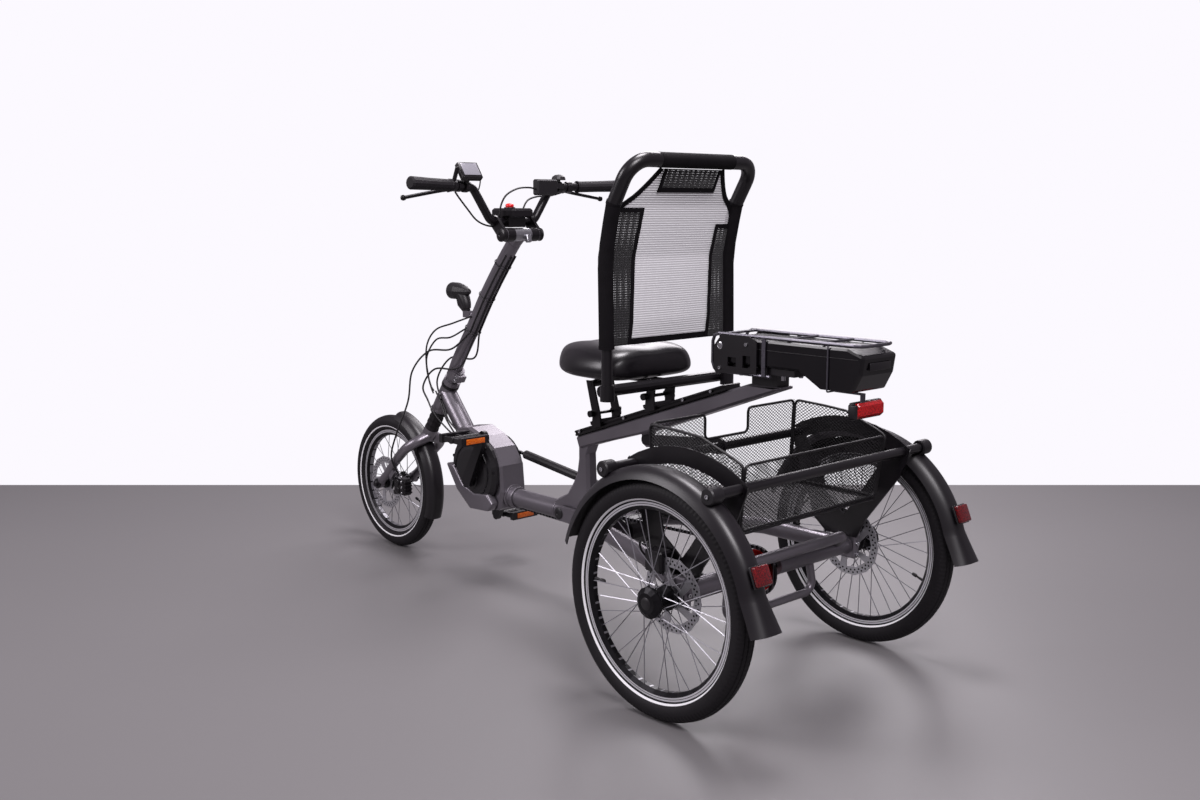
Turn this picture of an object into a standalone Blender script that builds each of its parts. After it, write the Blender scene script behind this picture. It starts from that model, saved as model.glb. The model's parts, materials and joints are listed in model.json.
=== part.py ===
# Electric tricycle with one front wheel, two rear wheels, a sliding seat, a mesh
# basket and a battery on a rear rack.
# Metres, +X forward, +Y to the rider's left, +Z up, wheels standing on z = 0.
# The model is laid out from the rear axle (x = 0) and moved at the end so that
# x = 0 is the middle of its length.
import math

import bmesh
import bpy
from mathutils import Matrix, Vector

# Fit between neighbouring pieces
SEAT = 0.0003
RUNNING = 0.0006

# Driving sizes of the whole vehicle
REAR_TYRE_R = 0.2485
FRONT_TYRE_R = 0.2025
WHEELBASE = 1.4685
HALF_TRACK = 0.345
CENTRE_X = 0.68455

AXLE_Z = REAR_TYRE_R
FRONT_AXLE = Vector((WHEELBASE, 0, FRONT_TYRE_R))


# Scene and collections

def clear_scene():
    for ob in list(bpy.data.objects):
        bpy.data.objects.remove(ob, do_unlink=True)


def new_collection(name):
    collection = bpy.data.collections.new(name)
    bpy.context.scene.collection.children.link(collection)
    return collection


clear_scene()
PARTS = new_collection("electric_tricycle")
CUTTERS = new_collection("cutters")
CUTTERS.hide_render = True

VEHICLE = bpy.data.objects.new("vehicle_centre", None)
VEHICLE.location = (-CENTRE_X, 0, 0)
PARTS.objects.link(VEHICLE)


# Materials

def material(name, colour, roughness, metallic=0.0):
    result = bpy.data.materials.new(name)
    result.use_nodes = True
    shader = result.node_tree.nodes["Principled BSDF"]
    shader.inputs["Base Color"].default_value = (*colour, 1)
    shader.inputs["Roughness"].default_value = roughness
    shader.inputs["Metallic"].default_value = metallic
    result.diffuse_color = (*colour, 1)
    return result


GREY_PAINT = material("grey_paint", (0.17, 0.17, 0.19), 0.35, 0.6)
BLACK_PAINT = material("black_paint", (0.012, 0.012, 0.013), 0.4)
BLACK_PLASTIC = material("black_plastic", (0.015, 0.015, 0.016), 0.5)
GLOSS_PLASTIC = material("gloss_black_plastic", (0.01, 0.01, 0.011), 0.2)
TYRE_RUBBER = material("tyre_rubber", (0.014, 0.014, 0.014), 0.75)
GRIP_RUBBER = material("grip_rubber", (0.012, 0.012, 0.012), 0.8)
STEEL = material("steel", (0.45, 0.45, 0.46), 0.3, 1.0)
DARK_METAL = material("dark_metal", (0.05, 0.05, 0.055), 0.4, 0.8)
RACK_METAL = material("rack_metal", (0.12, 0.12, 0.13), 0.35, 0.8)
RED_METAL = material("red_anodised", (0.45, 0.02, 0.015), 0.35, 0.6)
RED_LENS = material("red_lens", (0.5, 0.01, 0.015), 0.15)
RED_PLASTIC = material("red_plastic", (0.5, 0.02, 0.02), 0.4)
SEAT_VINYL = material("seat_vinyl", (0.013, 0.013, 0.014), 0.45)
BACK_FABRIC = material("back_fabric", (0.1, 0.1, 0.1), 0.85)
CABLE_BLACK = material("cable_black", (0.012, 0.012, 0.012), 0.45)


# Piece makers: each gives a closed mesh object whose mesh is in vehicle places

def finish_mesh(mesh, smooth_angle=40):
    work = bmesh.new()
    work.from_mesh(mesh)
    bmesh.ops.remove_doubles(work, verts=work.verts, dist=0.00001)
    bmesh.ops.recalc_face_normals(work, faces=work.faces)
    for face in work.faces:
        face.smooth = True
    for edge in work.edges:
        angle = edge.calc_face_angle(math.pi)
        edge.smooth = angle < math.radians(smooth_angle)
    work.to_mesh(mesh)
    work.free()


def piece(mesh, smooth_angle=40):
    finish_mesh(mesh, smooth_angle)
    ob = bpy.data.objects.new("piece", mesh)
    ob.display_type = "WIRE"
    ob.hide_render = True
    CUTTERS.objects.link(ob)
    return ob


def piece_from_bmesh(work, smooth_angle=40):
    mesh = bpy.data.meshes.new("piece")
    work.to_mesh(mesh)
    work.free()
    return piece(mesh, smooth_angle)


def evaluated_piece(data, matrix=None, modifier_setup=None, smooth_angle=40):
    source = bpy.data.objects.new("source", data)
    CUTTERS.objects.link(source)
    if matrix is not None:
        source.matrix_world = matrix
    if modifier_setup is not None:
        modifier_setup(source)
    bpy.context.view_layer.update()
    graph = bpy.context.evaluated_depsgraph_get()
    mesh = bpy.data.meshes.new_from_object(source.evaluated_get(graph))
    if matrix is not None:
        mesh.transform(matrix)
    bpy.data.objects.remove(source, do_unlink=True)
    return piece(mesh, smooth_angle)


def along(direction, place=(0, 0, 0)):
    turn = Vector(direction).normalized().to_track_quat("Z", "Y")
    return Matrix.Translation(Vector(place)) @ turn.to_matrix().to_4x4()


def box(centre, size, edge=0.0, turn_y=0.0):
    work = bmesh.new()
    place = Matrix.Translation(Vector(centre)) @ Matrix.Rotation(turn_y, 4, "Y")
    bmesh.ops.create_cube(work, size=1, matrix=place @ Matrix.Diagonal((*size, 1)))
    if edge > 0:
        bmesh.ops.bevel(work, geom=list(work.edges), offset=edge, segments=1,
                        affect="EDGES", profile=0.5)
    return piece_from_bmesh(work, 50)


def rod(start, end, radius, sides=16, end_radius=None):
    start = Vector(start)
    end = Vector(end)
    far = radius if end_radius is None else end_radius
    work = bmesh.new()
    bmesh.ops.create_cone(work, cap_ends=True, segments=sides, radius1=radius,
                          radius2=far, depth=(end - start).length,
                          matrix=along(end - start, (start + end) / 2))
    return piece_from_bmesh(work)


def round_hole(radius, sides):
    """Corner radius of a hole whose flats stay outside the given radius."""
    return radius / math.cos(math.pi / sides)


def bore(start, end, radius, sides=16):
    """Cutter for a hole that clears a shaft of the given radius all round."""
    return rod(start, end, round_hole(radius, sides), sides)


def tube(points, radius, sides=10, closed=False, taper=None):
    curve = bpy.data.curves.new("route", "CURVE")
    curve.dimensions = "3D"
    curve.bevel_depth = radius
    curve.bevel_resolution = (sides - 4) // 2
    curve.use_fill_caps = not closed
    spline = curve.splines.new("POLY")
    spline.points.add(len(points) - 1)
    for index, place in enumerate(points):
        spline.points[index].co = (*place, 1)
        if taper is not None:
            share = index / (len(points) - 1)
            spline.points[index].radius = 1 + (taper - 1) * share
    spline.use_cyclic_u = closed
    return evaluated_piece(curve)


def bent(route, bend, steps=4, closed=False):
    """Route whose inner corners are arcs of radius bend."""
    route = [Vector(point) for point in route]
    count = len(route)
    result = []
    for index, corner in enumerate(route):
        if not closed and index in (0, count - 1):
            result.append(corner)
            continue
        before = route[index - 1] - corner
        after = route[(index + 1) % count] - corner
        half = before.angle(after) / 2
        reach = min(bend / math.tan(half), 0.45 * min(before.length, after.length))
        radius = reach * math.tan(half)
        middle = (before.normalized() + after.normalized()).normalized()
        centre = corner + middle * (radius / math.sin(half))
        first = corner + before.normalized() * reach - centre
        last = corner + after.normalized() * reach - centre
        for step in range(steps + 1):
            result.append(centre + first.slerp(last, step / steps).normalized() * radius)
    return result


def smooth_route(points, per_span=4):
    """Points of a smooth curve that passes through the given ones."""
    points = [Vector(point) for point in points]
    ends = [2 * points[0] - points[1]] + points + [2 * points[-1] - points[-2]]
    result = [points[0]]
    for index in range(1, len(ends) - 2):
        p0, p1, p2, p3 = ends[index - 1:index + 3]
        for step in range(1, per_span + 1):
            t = step / per_span
            result.append(0.5 * (2 * p1 + (p2 - p0) * t
                                 + (2 * p0 - 5 * p1 + 4 * p2 - p3) * t ** 2
                                 + (3 * p1 - p0 - 3 * p2 + p3) * t ** 3))
    return result


ACROSS = {
    "X": Matrix(((0, 0, 1, 0), (1, 0, 0, 0), (0, 1, 0, 0), (0, 0, 0, 1))),
    "Y": Matrix(((1, 0, 0, 0), (0, 0, -1, 0), (0, 1, 0, 0), (0, 0, 0, 1))),
    "Z": Matrix.Identity(4),
}
AXIS = {"X": Vector((1, 0, 0)), "Y": Vector((0, 1, 0)), "Z": Vector((0, 0, 1))}


def plate(outline, across, middle, thickness, holes=()):
    """Flat sheet: outline and holes in the plane that the named axis crosses."""
    curve = bpy.data.curves.new("outline", "CURVE")
    curve.dimensions = "2D"
    curve.fill_mode = "BOTH"
    curve.extrude = thickness / 2
    for ring in [outline, *holes]:
        spline = curve.splines.new("POLY")
        spline.points.add(len(ring) - 1)
        for index, place in enumerate(ring):
            spline.points[index].co = (place[0], place[1], 0, 1)
        spline.use_cyclic_u = True
    place = Matrix.Translation(AXIS[across] * middle) @ ACROSS[across]
    return evaluated_piece(curve, place)


def circle(centre, radius, count=16, phase=0.0):
    return [(centre[0] + radius * math.cos(phase + math.tau * i / count),
             centre[1] + radius * math.sin(phase + math.tau * i / count))
            for i in range(count)]


def arc(centre, radius, first, last, steps):
    result = []
    for step in range(steps + 1):
        angle = math.radians(first + (last - first) * step / steps)
        result.append((centre[0] + radius * math.cos(angle),
                       centre[1] + radius * math.sin(angle)))
    return result


def two_circle_outline(first, first_r, second, second_r, steps=8):
    """Outline of a belt laid round two circles."""
    heading = math.degrees(math.atan2(second[1] - first[1], second[0] - first[0]))
    distance = math.hypot(second[0] - first[0], second[1] - first[1])
    lean = math.degrees(math.acos((first_r - second_r) / distance))
    round_first = arc(first, first_r, heading + lean, heading + 360 - lean, 2 * steps)
    round_second = arc(second, second_r, heading - lean, heading + lean, steps)
    return round_first + round_second


def turned(profile, centre, axis="Y", steps=32, closed=False, sweep=360.0):
    """Profile of (radius, height) pairs turned about an axis through centre."""
    mesh = bpy.data.meshes.new("profile")
    count = len(profile)
    edges = [(i, i + 1) for i in range(count - 1)]
    if closed:
        edges.append((count - 1, 0))
    mesh.from_pydata([(r, 0, h) for r, h in profile], edges, [])

    def add_screw(ob):
        screw = ob.modifiers.new("Turn", "SCREW")
        screw.axis = "Z"
        screw.angle = math.radians(sweep)
        screw.steps = steps
        screw.render_steps = steps
        screw.use_merge_vertices = True
        screw.merge_threshold = 0.00001

    direction = AXIS[axis] if isinstance(axis, str) else axis
    return evaluated_piece(mesh, along(direction, centre), add_screw)


def loft(sections, thickness, outward=1):
    """Shell through open sections of points, thickened by a Solidify."""
    work = bmesh.new()
    rows = [[work.verts.new(point) for point in section] for section in sections]
    for row, following in zip(rows, rows[1:]):
        for i in range(len(row) - 1):
            work.faces.new((row[i], row[i + 1], following[i + 1], following[i]))
    mesh = bpy.data.meshes.new("shell")
    work.to_mesh(mesh)
    work.free()

    def add_thickness(ob):
        solidify = ob.modifiers.new("Wall", "SOLIDIFY")
        solidify.thickness = thickness
        solidify.offset = outward
        solidify.use_even_offset = True

    return evaluated_piece(mesh, None, add_thickness)


def joined(pieces):
    """Pieces that don't touch each other, put in one mesh."""
    work = bmesh.new()
    for ob in pieces:
        work.from_mesh(ob.data)
        bpy.data.objects.remove(ob, do_unlink=True)
    return piece_from_bmesh(work)


# Nodes

def boolean(target, operand, operation):
    modifier = target.modifiers.new(operation.title(), "BOOLEAN")
    modifier.operation = operation
    modifier.solver = "EXACT"
    modifier.object = operand
    operand.parent = VEHICLE


def node(name, paint, pieces, cuts=(), origin=(0, 0, 0)):
    """One named part from united pieces, less the cuts, with its origin set."""
    base = pieces[0]
    base.name = name
    base.data.name = name
    base.data.materials.clear()
    base.data.materials.append(paint)
    for ob in pieces[1:]:
        boolean(base, ob, "UNION")
    for ob in cuts:
        boolean(base, ob, "DIFFERENCE")
    origin = Vector(origin)
    base.data.transform(Matrix.Translation(-origin))
    base.location = origin
    base.parent = VEHICLE
    base.display_type = "TEXTURED"
    base.hide_render = False
    CUTTERS.objects.unlink(base)
    PARTS.objects.link(base)
    return base


def both_sides(build):
    """Calls build with the side's name and its sign, +1 for left."""
    build("left", 1)
    build("right", -1)


# Wheels

TYRE_HALF_W = 0.0235
TYRE_BEAD_R_BELOW_CROWN = 0.0435
RIM_HALF_W = 0.0125
RIM_DEPTH = 0.0175
SPOKE_R = 0.0012
SPOKE_OFFSET = 0.0015
DISC_R = 0.080
DISC_THICK = 0.002
DISC_BORE = 0.0185


def tyre(name, centre, outer_r, steps):
    bead_r = outer_r - TYRE_BEAD_R_BELOW_CROWN
    half = [(bead_r, RIM_HALF_W), (bead_r + 0.008, 0.0200), (bead_r + 0.021, TYRE_HALF_W),
            (outer_r - 0.008, 0.0188), (outer_r - 0.0015, 0.0095)]
    profile = half + [(outer_r, 0.0)] + [(r, -h) for r, h in reversed(half)]
    node(name, TYRE_RUBBER, [turned(profile, centre, "Y", steps, closed=True)],
         origin=centre)


def wheel(name, centre, outer_r, hub_profile, flange_r, flange_ys, spokes, steps,
          crossing, shaft=None, axle_bore=None):
    rim_r = outer_r - TYRE_BEAD_R_BELOW_CROWN - SEAT
    inner_r = rim_r - RIM_DEPTH
    rim = turned([(inner_r, 0.0055), (rim_r - 0.010, RIM_HALF_W), (rim_r, RIM_HALF_W),
                  (rim_r, -RIM_HALF_W), (rim_r - 0.010, -RIM_HALF_W), (inner_r, -0.0055)],
                 centre, "Y", steps, closed=True)
    hub = turned(hub_profile, centre, "Y", 14)
    pieces = [rim, hub]
    if shaft is not None:
        pieces.append(shaft)
    per_group = spokes // 4
    step = math.tau / per_group
    for group in range(4):
        side = group % 2
        way = 1 if group < 2 else -1
        lines = []
        for index in range(per_group):
            angle = step * (index + group / 4)
            hub_angle = angle + way * crossing
            hub_y = flange_ys[side] + way * SPOKE_OFFSET
            start = Vector((flange_r * math.cos(hub_angle), hub_y,
                            flange_r * math.sin(hub_angle)))
            rim_y = 0.002 * (1 if flange_ys[side] > 0 else -1) + way * SPOKE_OFFSET
            end = Vector(((inner_r + 0.003) * math.cos(angle), rim_y,
                          (inner_r + 0.003) * math.sin(angle)))
            lines.append(rod(centre + start, centre + end, SPOKE_R, 3))
        pieces.append(joined(lines))
    cuts = [] if axle_bore is None else [axle_bore]
    node(name, DARK_METAL, pieces, cuts, origin=centre)


def brake_disc(name, centre, y):
    outline = []
    for index in range(28):
        angle = math.tau * index / 28
        radius = DISC_R - (0.0022 if index % 2 else 0.0)
        outline.append((centre[0] + radius * math.cos(angle),
                        centre[2] + radius * math.sin(angle)))
    middle = (centre[0], centre[2])
    holes = [circle(middle, round_hole(DISC_BORE, 14), 14)]
    arms = 5
    for index in range(arms):
        first = 360 * index / arms
        outer = arc(middle, 0.0605, first + 6, first + 60, 2)
        inner = arc(middle, 0.0285, first + 72, first + 26, 1)
        holes.append(outer + inner)
    node(name, STEEL, [plate(outline, "Y", y, DISC_THICK, holes)], origin=centre)


# Rear wheels: carried on one side by the lugs of the rear frame

LUG_OUTER_Y = 0.2965
HUB_INNER_Y = 0.2985
REAR_DISC_Y = 0.302
SHAFT_R = 0.0085
SHAFT_BORE_R = 0.0095
DIFF_LEFT_Y = 0.10
DIFF_MEET_Y = 0.072
REAR_FLANGE_Y = (0.0175, -0.0230)


def rear_wheel(side, sign):
    centre = Vector((0, sign * HALF_TRACK, AXLE_Z))
    inner = HUB_INNER_Y - HALF_TRACK
    disc_face = REAR_DISC_Y + DISC_THICK / 2 + SEAT - HALF_TRACK
    nose = DISC_BORE - SEAT
    profile = [(0, inner), (nose, inner), (nose, disc_face), (0.022, disc_face),
               (0.022, disc_face + 0.006), (0.027, -0.0260), (0.027, -0.0200),
               (0.0155, -0.016), (0.0155, 0.011), (0.027, 0.0145), (0.033, 0.0205),
               (0.033, 0.027), (0.022, 0.034), (0, 0.0365)]
    profile = [(r, sign * h) for r, h in profile]
    shaft_end = DIFF_MEET_Y + 0.001 if sign > 0 else DIFF_MEET_Y - 0.001
    shaft = rod((0, sign * (HUB_INNER_Y + 0.004), AXLE_Z), (0, shaft_end, AXLE_Z),
                SHAFT_R, 12)
    flanges = (sign * REAR_FLANGE_Y[0], sign * REAR_FLANGE_Y[1])
    wheel("rear_wheel_" + side, centre, REAR_TYRE_R, profile, 0.0235, flanges, 36, 36,
          math.radians(50), shaft)
    tyre("rear_tyre_" + side, centre, REAR_TYRE_R, 36)
    brake_disc("rear_disc_" + side, centre, sign * REAR_DISC_Y)


both_sides(rear_wheel)


# Front wheel

FRONT_DISC_Y = 0.035
FRONT_HUB_HALF = 0.0435
FRONT_AXLE_R = 0.0055


def front_wheel():
    nose = DISC_BORE - SEAT
    disc_face = FRONT_DISC_Y - DISC_THICK / 2 - SEAT
    profile = [(0, FRONT_HUB_HALF), (nose, FRONT_HUB_HALF), (nose, disc_face),
               (0.022, disc_face), (0.0235, 0.0270), (0.0235, 0.0210),
               (0.0145, 0.018), (0.0145, -0.021), (0.0235, -0.0245), (0.0235, -0.0305),
               (0.0135, -0.036), (0.0135, -FRONT_HUB_HALF), (0, -FRONT_HUB_HALF)]
    axle_bore = bore(FRONT_AXLE - Vector((0, 0.08, 0)), FRONT_AXLE + Vector((0, 0.08, 0)),
                     FRONT_AXLE_R + RUNNING, 10)
    wheel("front_wheel", FRONT_AXLE, FRONT_TYRE_R, profile, 0.0205, (0.0240, -0.0275),
          28, 32, math.radians(50), None, axle_bore)
    tyre("front_tyre", FRONT_AXLE, FRONT_TYRE_R, 32)
    brake_disc("front_disc", FRONT_AXLE, FRONT_DISC_Y)


front_wheel()


# Steering axis, from the fork crown up through the head tube

CROWN_BACK = 0.73 * FRONT_TYRE_R + 0.033675
CROWN_RISE = 0.685 * FRONT_TYRE_R + 0.0317875
CROWN_X = WHEELBASE - CROWN_BACK
CROWN_Z = FRONT_TYRE_R + CROWN_RISE
CROWN = Vector((CROWN_X, 0, CROWN_Z))
STEER_UP = Vector((-0.5754, 0, 0.8179)).normalized()
STEERER_R = 0.0155
HEAD_BOTTOM_S = 0.087
HEAD_TOP_S = 0.198
HEAD_TUBE_R = 0.0235


def from_crown(x, y, z):
    """Point given by its distances from the fork crown."""
    return Vector((CROWN_X + x, y, CROWN_Z + z))


def from_front_axle(x, y, z):
    """Point given by its distances from the front axle."""
    return Vector((WHEELBASE + x, y, FRONT_TYRE_R + z))


def on_axis(s, forward=0.0, left=0.0):
    """Point at distance s up the steering axis, moved square to it."""
    ahead = Vector((STEER_UP.z, 0, -STEER_UP.x))
    return CROWN + STEER_UP * s + ahead * forward + Vector((0, left, 0))


# Main frame: head tube, down tube, motor shell, low tube, mast, sloping beam

LOW_TUBE_R = 0.0245
LOW_TUBE_Z = 0.252
LOW_TUBE_REAR_X = 0.618
SHELL_HALF_W = 0.042
BEAM_HALF_W = 0.025
MAST_HALF_W = 0.018
BEAM_SLOPE = math.radians(18.9)
BEAM_FRONT = (0.612, 0.4595)
BEAM_FLAT_Z = 0.654
BEAM_FLAT_X = BEAM_FRONT[0] - (BEAM_FLAT_Z - BEAM_FRONT[1]) / math.tan(BEAM_SLOPE)
MOTOR_CENTRE = (1.0, 0.315)
MOTOR_CORE_R = 0.050
CRANK_AXIS = (0.995, 0.29)
CHAIN_Y = -0.050
CHAIN_TUBE_R = 0.012
CHAIN_TAB_X = 0.590
GUSSET_HALF_W = 0.003


def beam_top(x):
    return BEAM_FRONT[1] + (BEAM_FRONT[0] - x) * math.tan(BEAM_SLOPE)


def chain_upper_z(x):
    """Height of the upper chain run that leaves the chainring."""
    return 0.3662 - (0.9854 - x) * 0.1258


def frame_main():
    beam = plate([BEAM_FRONT, (BEAM_FLAT_X, BEAM_FLAT_Z), (-0.045, BEAM_FLAT_Z),
                  (-0.040, 0.6485), (0.120, 0.590), (0.348, 0.507), (0.518, 0.4565),
                  (0.600, 0.430)], "Y", 0, 2 * BEAM_HALF_W)
    mast = plate([(0.611, 0.457), (0.611, 0.400), (0.617, 0.365), (0.632, 0.337),
                  (0.655, 0.303), (0.707, 0.2765), (0.707, 0.245), (0.660, 0.232),
                  (0.590, 0.2285), (0.566, 0.240), (0.568, 0.300), (0.573, 0.420),
                  (0.562, 0.445), (0.530, 0.457), (0.528, 0.478)], "Y", 0,
                 2 * MAST_HALF_W)
    low = rod((LOW_TUBE_REAR_X, 0, LOW_TUBE_Z), (0.912, 0, LOW_TUBE_Z), LOW_TUBE_R, 20)
    socket = rod((0.872, 0, LOW_TUBE_Z), (0.912, 0, LOW_TUBE_Z), 0.030, 16)
    shell = plate([(1.100, 0.420), (1.030, 0.430), (0.975, 0.412), (0.930, 0.385),
                   (0.897, 0.340), (0.890, 0.268), (0.905, 0.215), (1.005, 0.208),
                   (1.060, 0.250), (1.115, 0.315), (1.105, 0.360), (1.090, 0.400)],
                  "Y", 0, 2 * SHELL_HALF_W)
    down = rod(on_axis(0.162), (1.083, 0, 0.380), 0.026, 18)
    head = rod(on_axis(HEAD_BOTTOM_S), on_axis(HEAD_TOP_S), HEAD_TUBE_R, 20)
    gusset = plate([(0.396, 0.505), (0.393, 0.471), (0.378, 0.463), (0.360, 0.466),
                    (0.350, 0.515)], "Y", 0, 2 * GUSSET_HALF_W,
                   [circle((0.376, 0.487), 0.005, 8)])
    tab = box((CHAIN_TAB_X, (CHAIN_Y + CHAIN_TUBE_R - SEAT - MAST_HALF_W + 0.002) / 2,
               chain_upper_z(CHAIN_TAB_X)),
              (0.016, -(CHAIN_Y + CHAIN_TUBE_R + SEAT) - MAST_HALF_W + 0.002, 0.006))
    head_bore = bore(on_axis(HEAD_BOTTOM_S - 0.02), on_axis(HEAD_TOP_S + 0.02),
                     STEERER_R + RUNNING)
    core = bore((MOTOR_CENTRE[0], -0.06, MOTOR_CENTRE[1]),
                (MOTOR_CENTRE[0], 0.06, MOTOR_CENTRE[1]), MOTOR_CORE_R + SEAT, 24)
    for ob in (beam, mast, shell):
        bevel = ob.modifiers.new("Round", "BEVEL")
        bevel.width = 0.007
        bevel.segments = 1
        bevel.limit_method = "ANGLE"
        bevel.angle_limit = math.radians(60)
    node("frame_main", GREY_PAINT, [shell, low, socket, mast, beam, head, down, gusset, tab],
         [head_bore, core])


frame_main()


# Rear frame: arms, stays, cross tubes, bridge, lugs, guard hoop

ARM_Y = 0.0305
ARM_THICK = 0.011
STAY_R = 0.019
CROSS_TUBE_R = 0.0225
BRACKET_Y = 0.275
BRACKET_THICK = 0.004
HUB_GEAR_X = 0.430
HUB_GEAR_Z = 0.250
HUB_AXLE_R = 0.005
LUG_INNER_Y = BRACKET_Y + BRACKET_THICK / 2 + SEAT


def frame_rear():
    pieces = []
    right_tube = rod((0, -0.290, AXLE_Z), (0, -0.020, AXLE_Z), CROSS_TUBE_R, 14)
    left_tube = rod((0, 0.110, AXLE_Z), (0, 0.290, AXLE_Z), CROSS_TUBE_R, 14)
    bridge_route = [(-0.004, -0.238, 0.258), (-0.055, -0.196, 0.293),
                    (-0.055, 0.125, 0.293), (-0.004, 0.176, 0.258)]
    pieces.append(right_tube)
    pieces.append(left_tube)
    pieces.append(tube(bent(bridge_route, 0.035, 3), 0.0125, 10))
    for sign in (1, -1):
        arm = plate(arc((0.664, LOW_TUBE_Z), 0.019, -90, 90, 6)
                    + [(0.560, LOW_TUBE_Z + 0.016), (0.545, LOW_TUBE_Z + 0.010),
                       (0.545, LOW_TUBE_Z - 0.010), (0.560, LOW_TUBE_Z - 0.016)],
                    "Y", sign * ARM_Y, ARM_THICK)
        stay = tube([(0.562, sign * 0.0325, LOW_TUBE_Z), (0.385, sign * 0.120, 0.268),
                     (0.177, sign * 0.200, 0.272), (0.012, sign * 0.262, 0.252)],
                    STAY_R, 8)
        lug = box((0.002, sign * (LUG_INNER_Y + LUG_OUTER_Y) / 2, AXLE_Z + 0.0045),
                  (0.066, LUG_OUTER_Y - LUG_INNER_Y, 0.071), 0.003)
        pieces += [arm, stay, lug]
    shaft_bore = bore((0, -0.320, AXLE_Z), (0, 0.320, AXLE_Z), SHAFT_R + RUNNING, 12)
    pieces.append(rod((HUB_GEAR_X, -0.094, HUB_GEAR_Z), (HUB_GEAR_X, 0.094, HUB_GEAR_Z),
                      HUB_AXLE_R, 10))
    pieces.append(tube(bent([(0, -0.146, 0.240), (0, -0.165, 0.160), (0, 0.138, 0.160),
                             (0, 0.132, 0.240)], 0.025, 4), 0.009, 8))
    node("frame_rear", GREY_PAINT, pieces, [shaft_bore])


frame_rear()


# Motor with its covers, in the bore of the shell

MOTOR_COVER_R = 0.100
MOTOR_LEFT_Y = 0.065
MOTOR_RIGHT_Y = -0.0462
SPINDLE_R = 0.0115


def motor_unit():
    left_in = SHELL_HALF_W + SEAT
    profile = [(0, MOTOR_LEFT_Y), (0.060, MOTOR_LEFT_Y), (0.088, MOTOR_LEFT_Y - 0.005),
               (MOTOR_COVER_R, MOTOR_LEFT_Y - 0.014), (MOTOR_COVER_R, left_in),
               (MOTOR_CORE_R, left_in), (MOTOR_CORE_R, -left_in),
               (MOTOR_COVER_R - 0.006, -left_in), (MOTOR_COVER_R - 0.008, MOTOR_RIGHT_Y),
               (0, MOTOR_RIGHT_Y)]
    centre = (MOTOR_CENTRE[0], 0, MOTOR_CENTRE[1])
    spindle_bore = bore((CRANK_AXIS[0], -0.08, CRANK_AXIS[1]),
                        (CRANK_AXIS[0], 0.08, CRANK_AXIS[1]), SPINDLE_R + RUNNING, 14)
    node("motor_unit", BLACK_PLASTIC, [turned(profile, centre, "Y", 26)], [spindle_bore])


motor_unit()


# Crank set and pedals

CRANK_LENGTH = 0.157
CRANK_ANGLE = math.radians(119)
CRANK_ARM_Y = 0.080
CRANK_ARM_THICK = 0.013
CHAINRING_R = 0.0768
CHAINRING_THICK = 0.003
PEDAL_AXLE_R = 0.0045
PEDAL_Y = 0.145
PEDAL_HALF_Y = 0.045
PEDAL_HALF_X = 0.050
PEDAL_HALF_Z = 0.011


def pedal_place(sign):
    angle = CRANK_ANGLE if sign > 0 else CRANK_ANGLE + math.pi
    return Vector((CRANK_AXIS[0] + CRANK_LENGTH * math.cos(angle), sign * PEDAL_Y,
                   CRANK_AXIS[1] + CRANK_LENGTH * math.sin(angle)))


def crank_set():
    centre = Vector((CRANK_AXIS[0], 0, CRANK_AXIS[1]))
    reach = CRANK_ARM_Y + CRANK_ARM_THICK / 2 - 0.001
    pieces = [rod(centre - Vector((0, reach, 0)), centre + Vector((0, reach, 0)),
                  SPINDLE_R, 16)]
    windows = [circle((CRANK_AXIS[0] + 0.046 * math.cos(math.tau * i / 5),
                       CRANK_AXIS[1] + 0.046 * math.sin(math.tau * i / 5)), 0.017, 6)
               for i in range(5)]
    pieces.append(plate(circle(CRANK_AXIS, CHAINRING_R, 32), "Y", CHAIN_Y,
                        CHAINRING_THICK, windows))
    pieces.append(rod((centre.x, CHAIN_Y - 0.001, centre.z),
                      (centre.x, -CRANK_ARM_Y, centre.z), 0.019, 16))
    for sign in (1, -1):
        pedal = pedal_place(sign)
        arm = plate(two_circle_outline(CRANK_AXIS, 0.0175, (pedal.x, pedal.z), 0.0125),
                    "Y", sign * CRANK_ARM_Y, CRANK_ARM_THICK)
        pieces.append(arm)
        pieces.append(rod((pedal.x, sign * (CRANK_ARM_Y - 0.004), pedal.z),
                          (pedal.x, sign * (PEDAL_Y + PEDAL_HALF_Y - 0.008), pedal.z),
                          PEDAL_AXLE_R, 10))
    node("crank_set", DARK_METAL, pieces, origin=centre)


def pedal(side, sign):
    place = pedal_place(sign)
    pieces = [rod(place - Vector((0, PEDAL_HALF_Y - 0.001, 0)),
                  place + Vector((0, PEDAL_HALF_Y - 0.001, 0)), 0.0095, 12)]
    for end in (1, -1):
        pieces.append(box(place + Vector((end * (PEDAL_HALF_X - 0.007), 0, 0)),
                          (0.014, 2 * PEDAL_HALF_Y, 2 * PEDAL_HALF_Z)))
    for y in (-0.038, 0.0, 0.038):
        pieces.append(box(place + Vector((0, y, 0)),
                          (2 * PEDAL_HALF_X - 0.010, 0.008, 0.014)))
    inner = place.y - sign * 0.08
    axle_hole = bore((place.x, inner, place.z),
                     (place.x, place.y + sign * (PEDAL_HALF_Y - 0.008 + SEAT), place.z),
                     PEDAL_AXLE_R + SEAT, 10)
    node("pedal_" + side, BLACK_PLASTIC, pieces, [axle_hole], origin=place)


crank_set()
both_sides(pedal)


# Chain, chain tube, gear hub, drive sprocket and differential

HUB_INPUT_R = 0.046
HUB_OUTPUT_R = 0.032
HUB_OUTPUT_Y = 0.039
DRIVE_SPROCKET_R = 0.0475
CHAIN_HEIGHT = 0.0075
CHAIN_WIDTH = 0.0065
CHAIN_GAP = 0.0010


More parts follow.
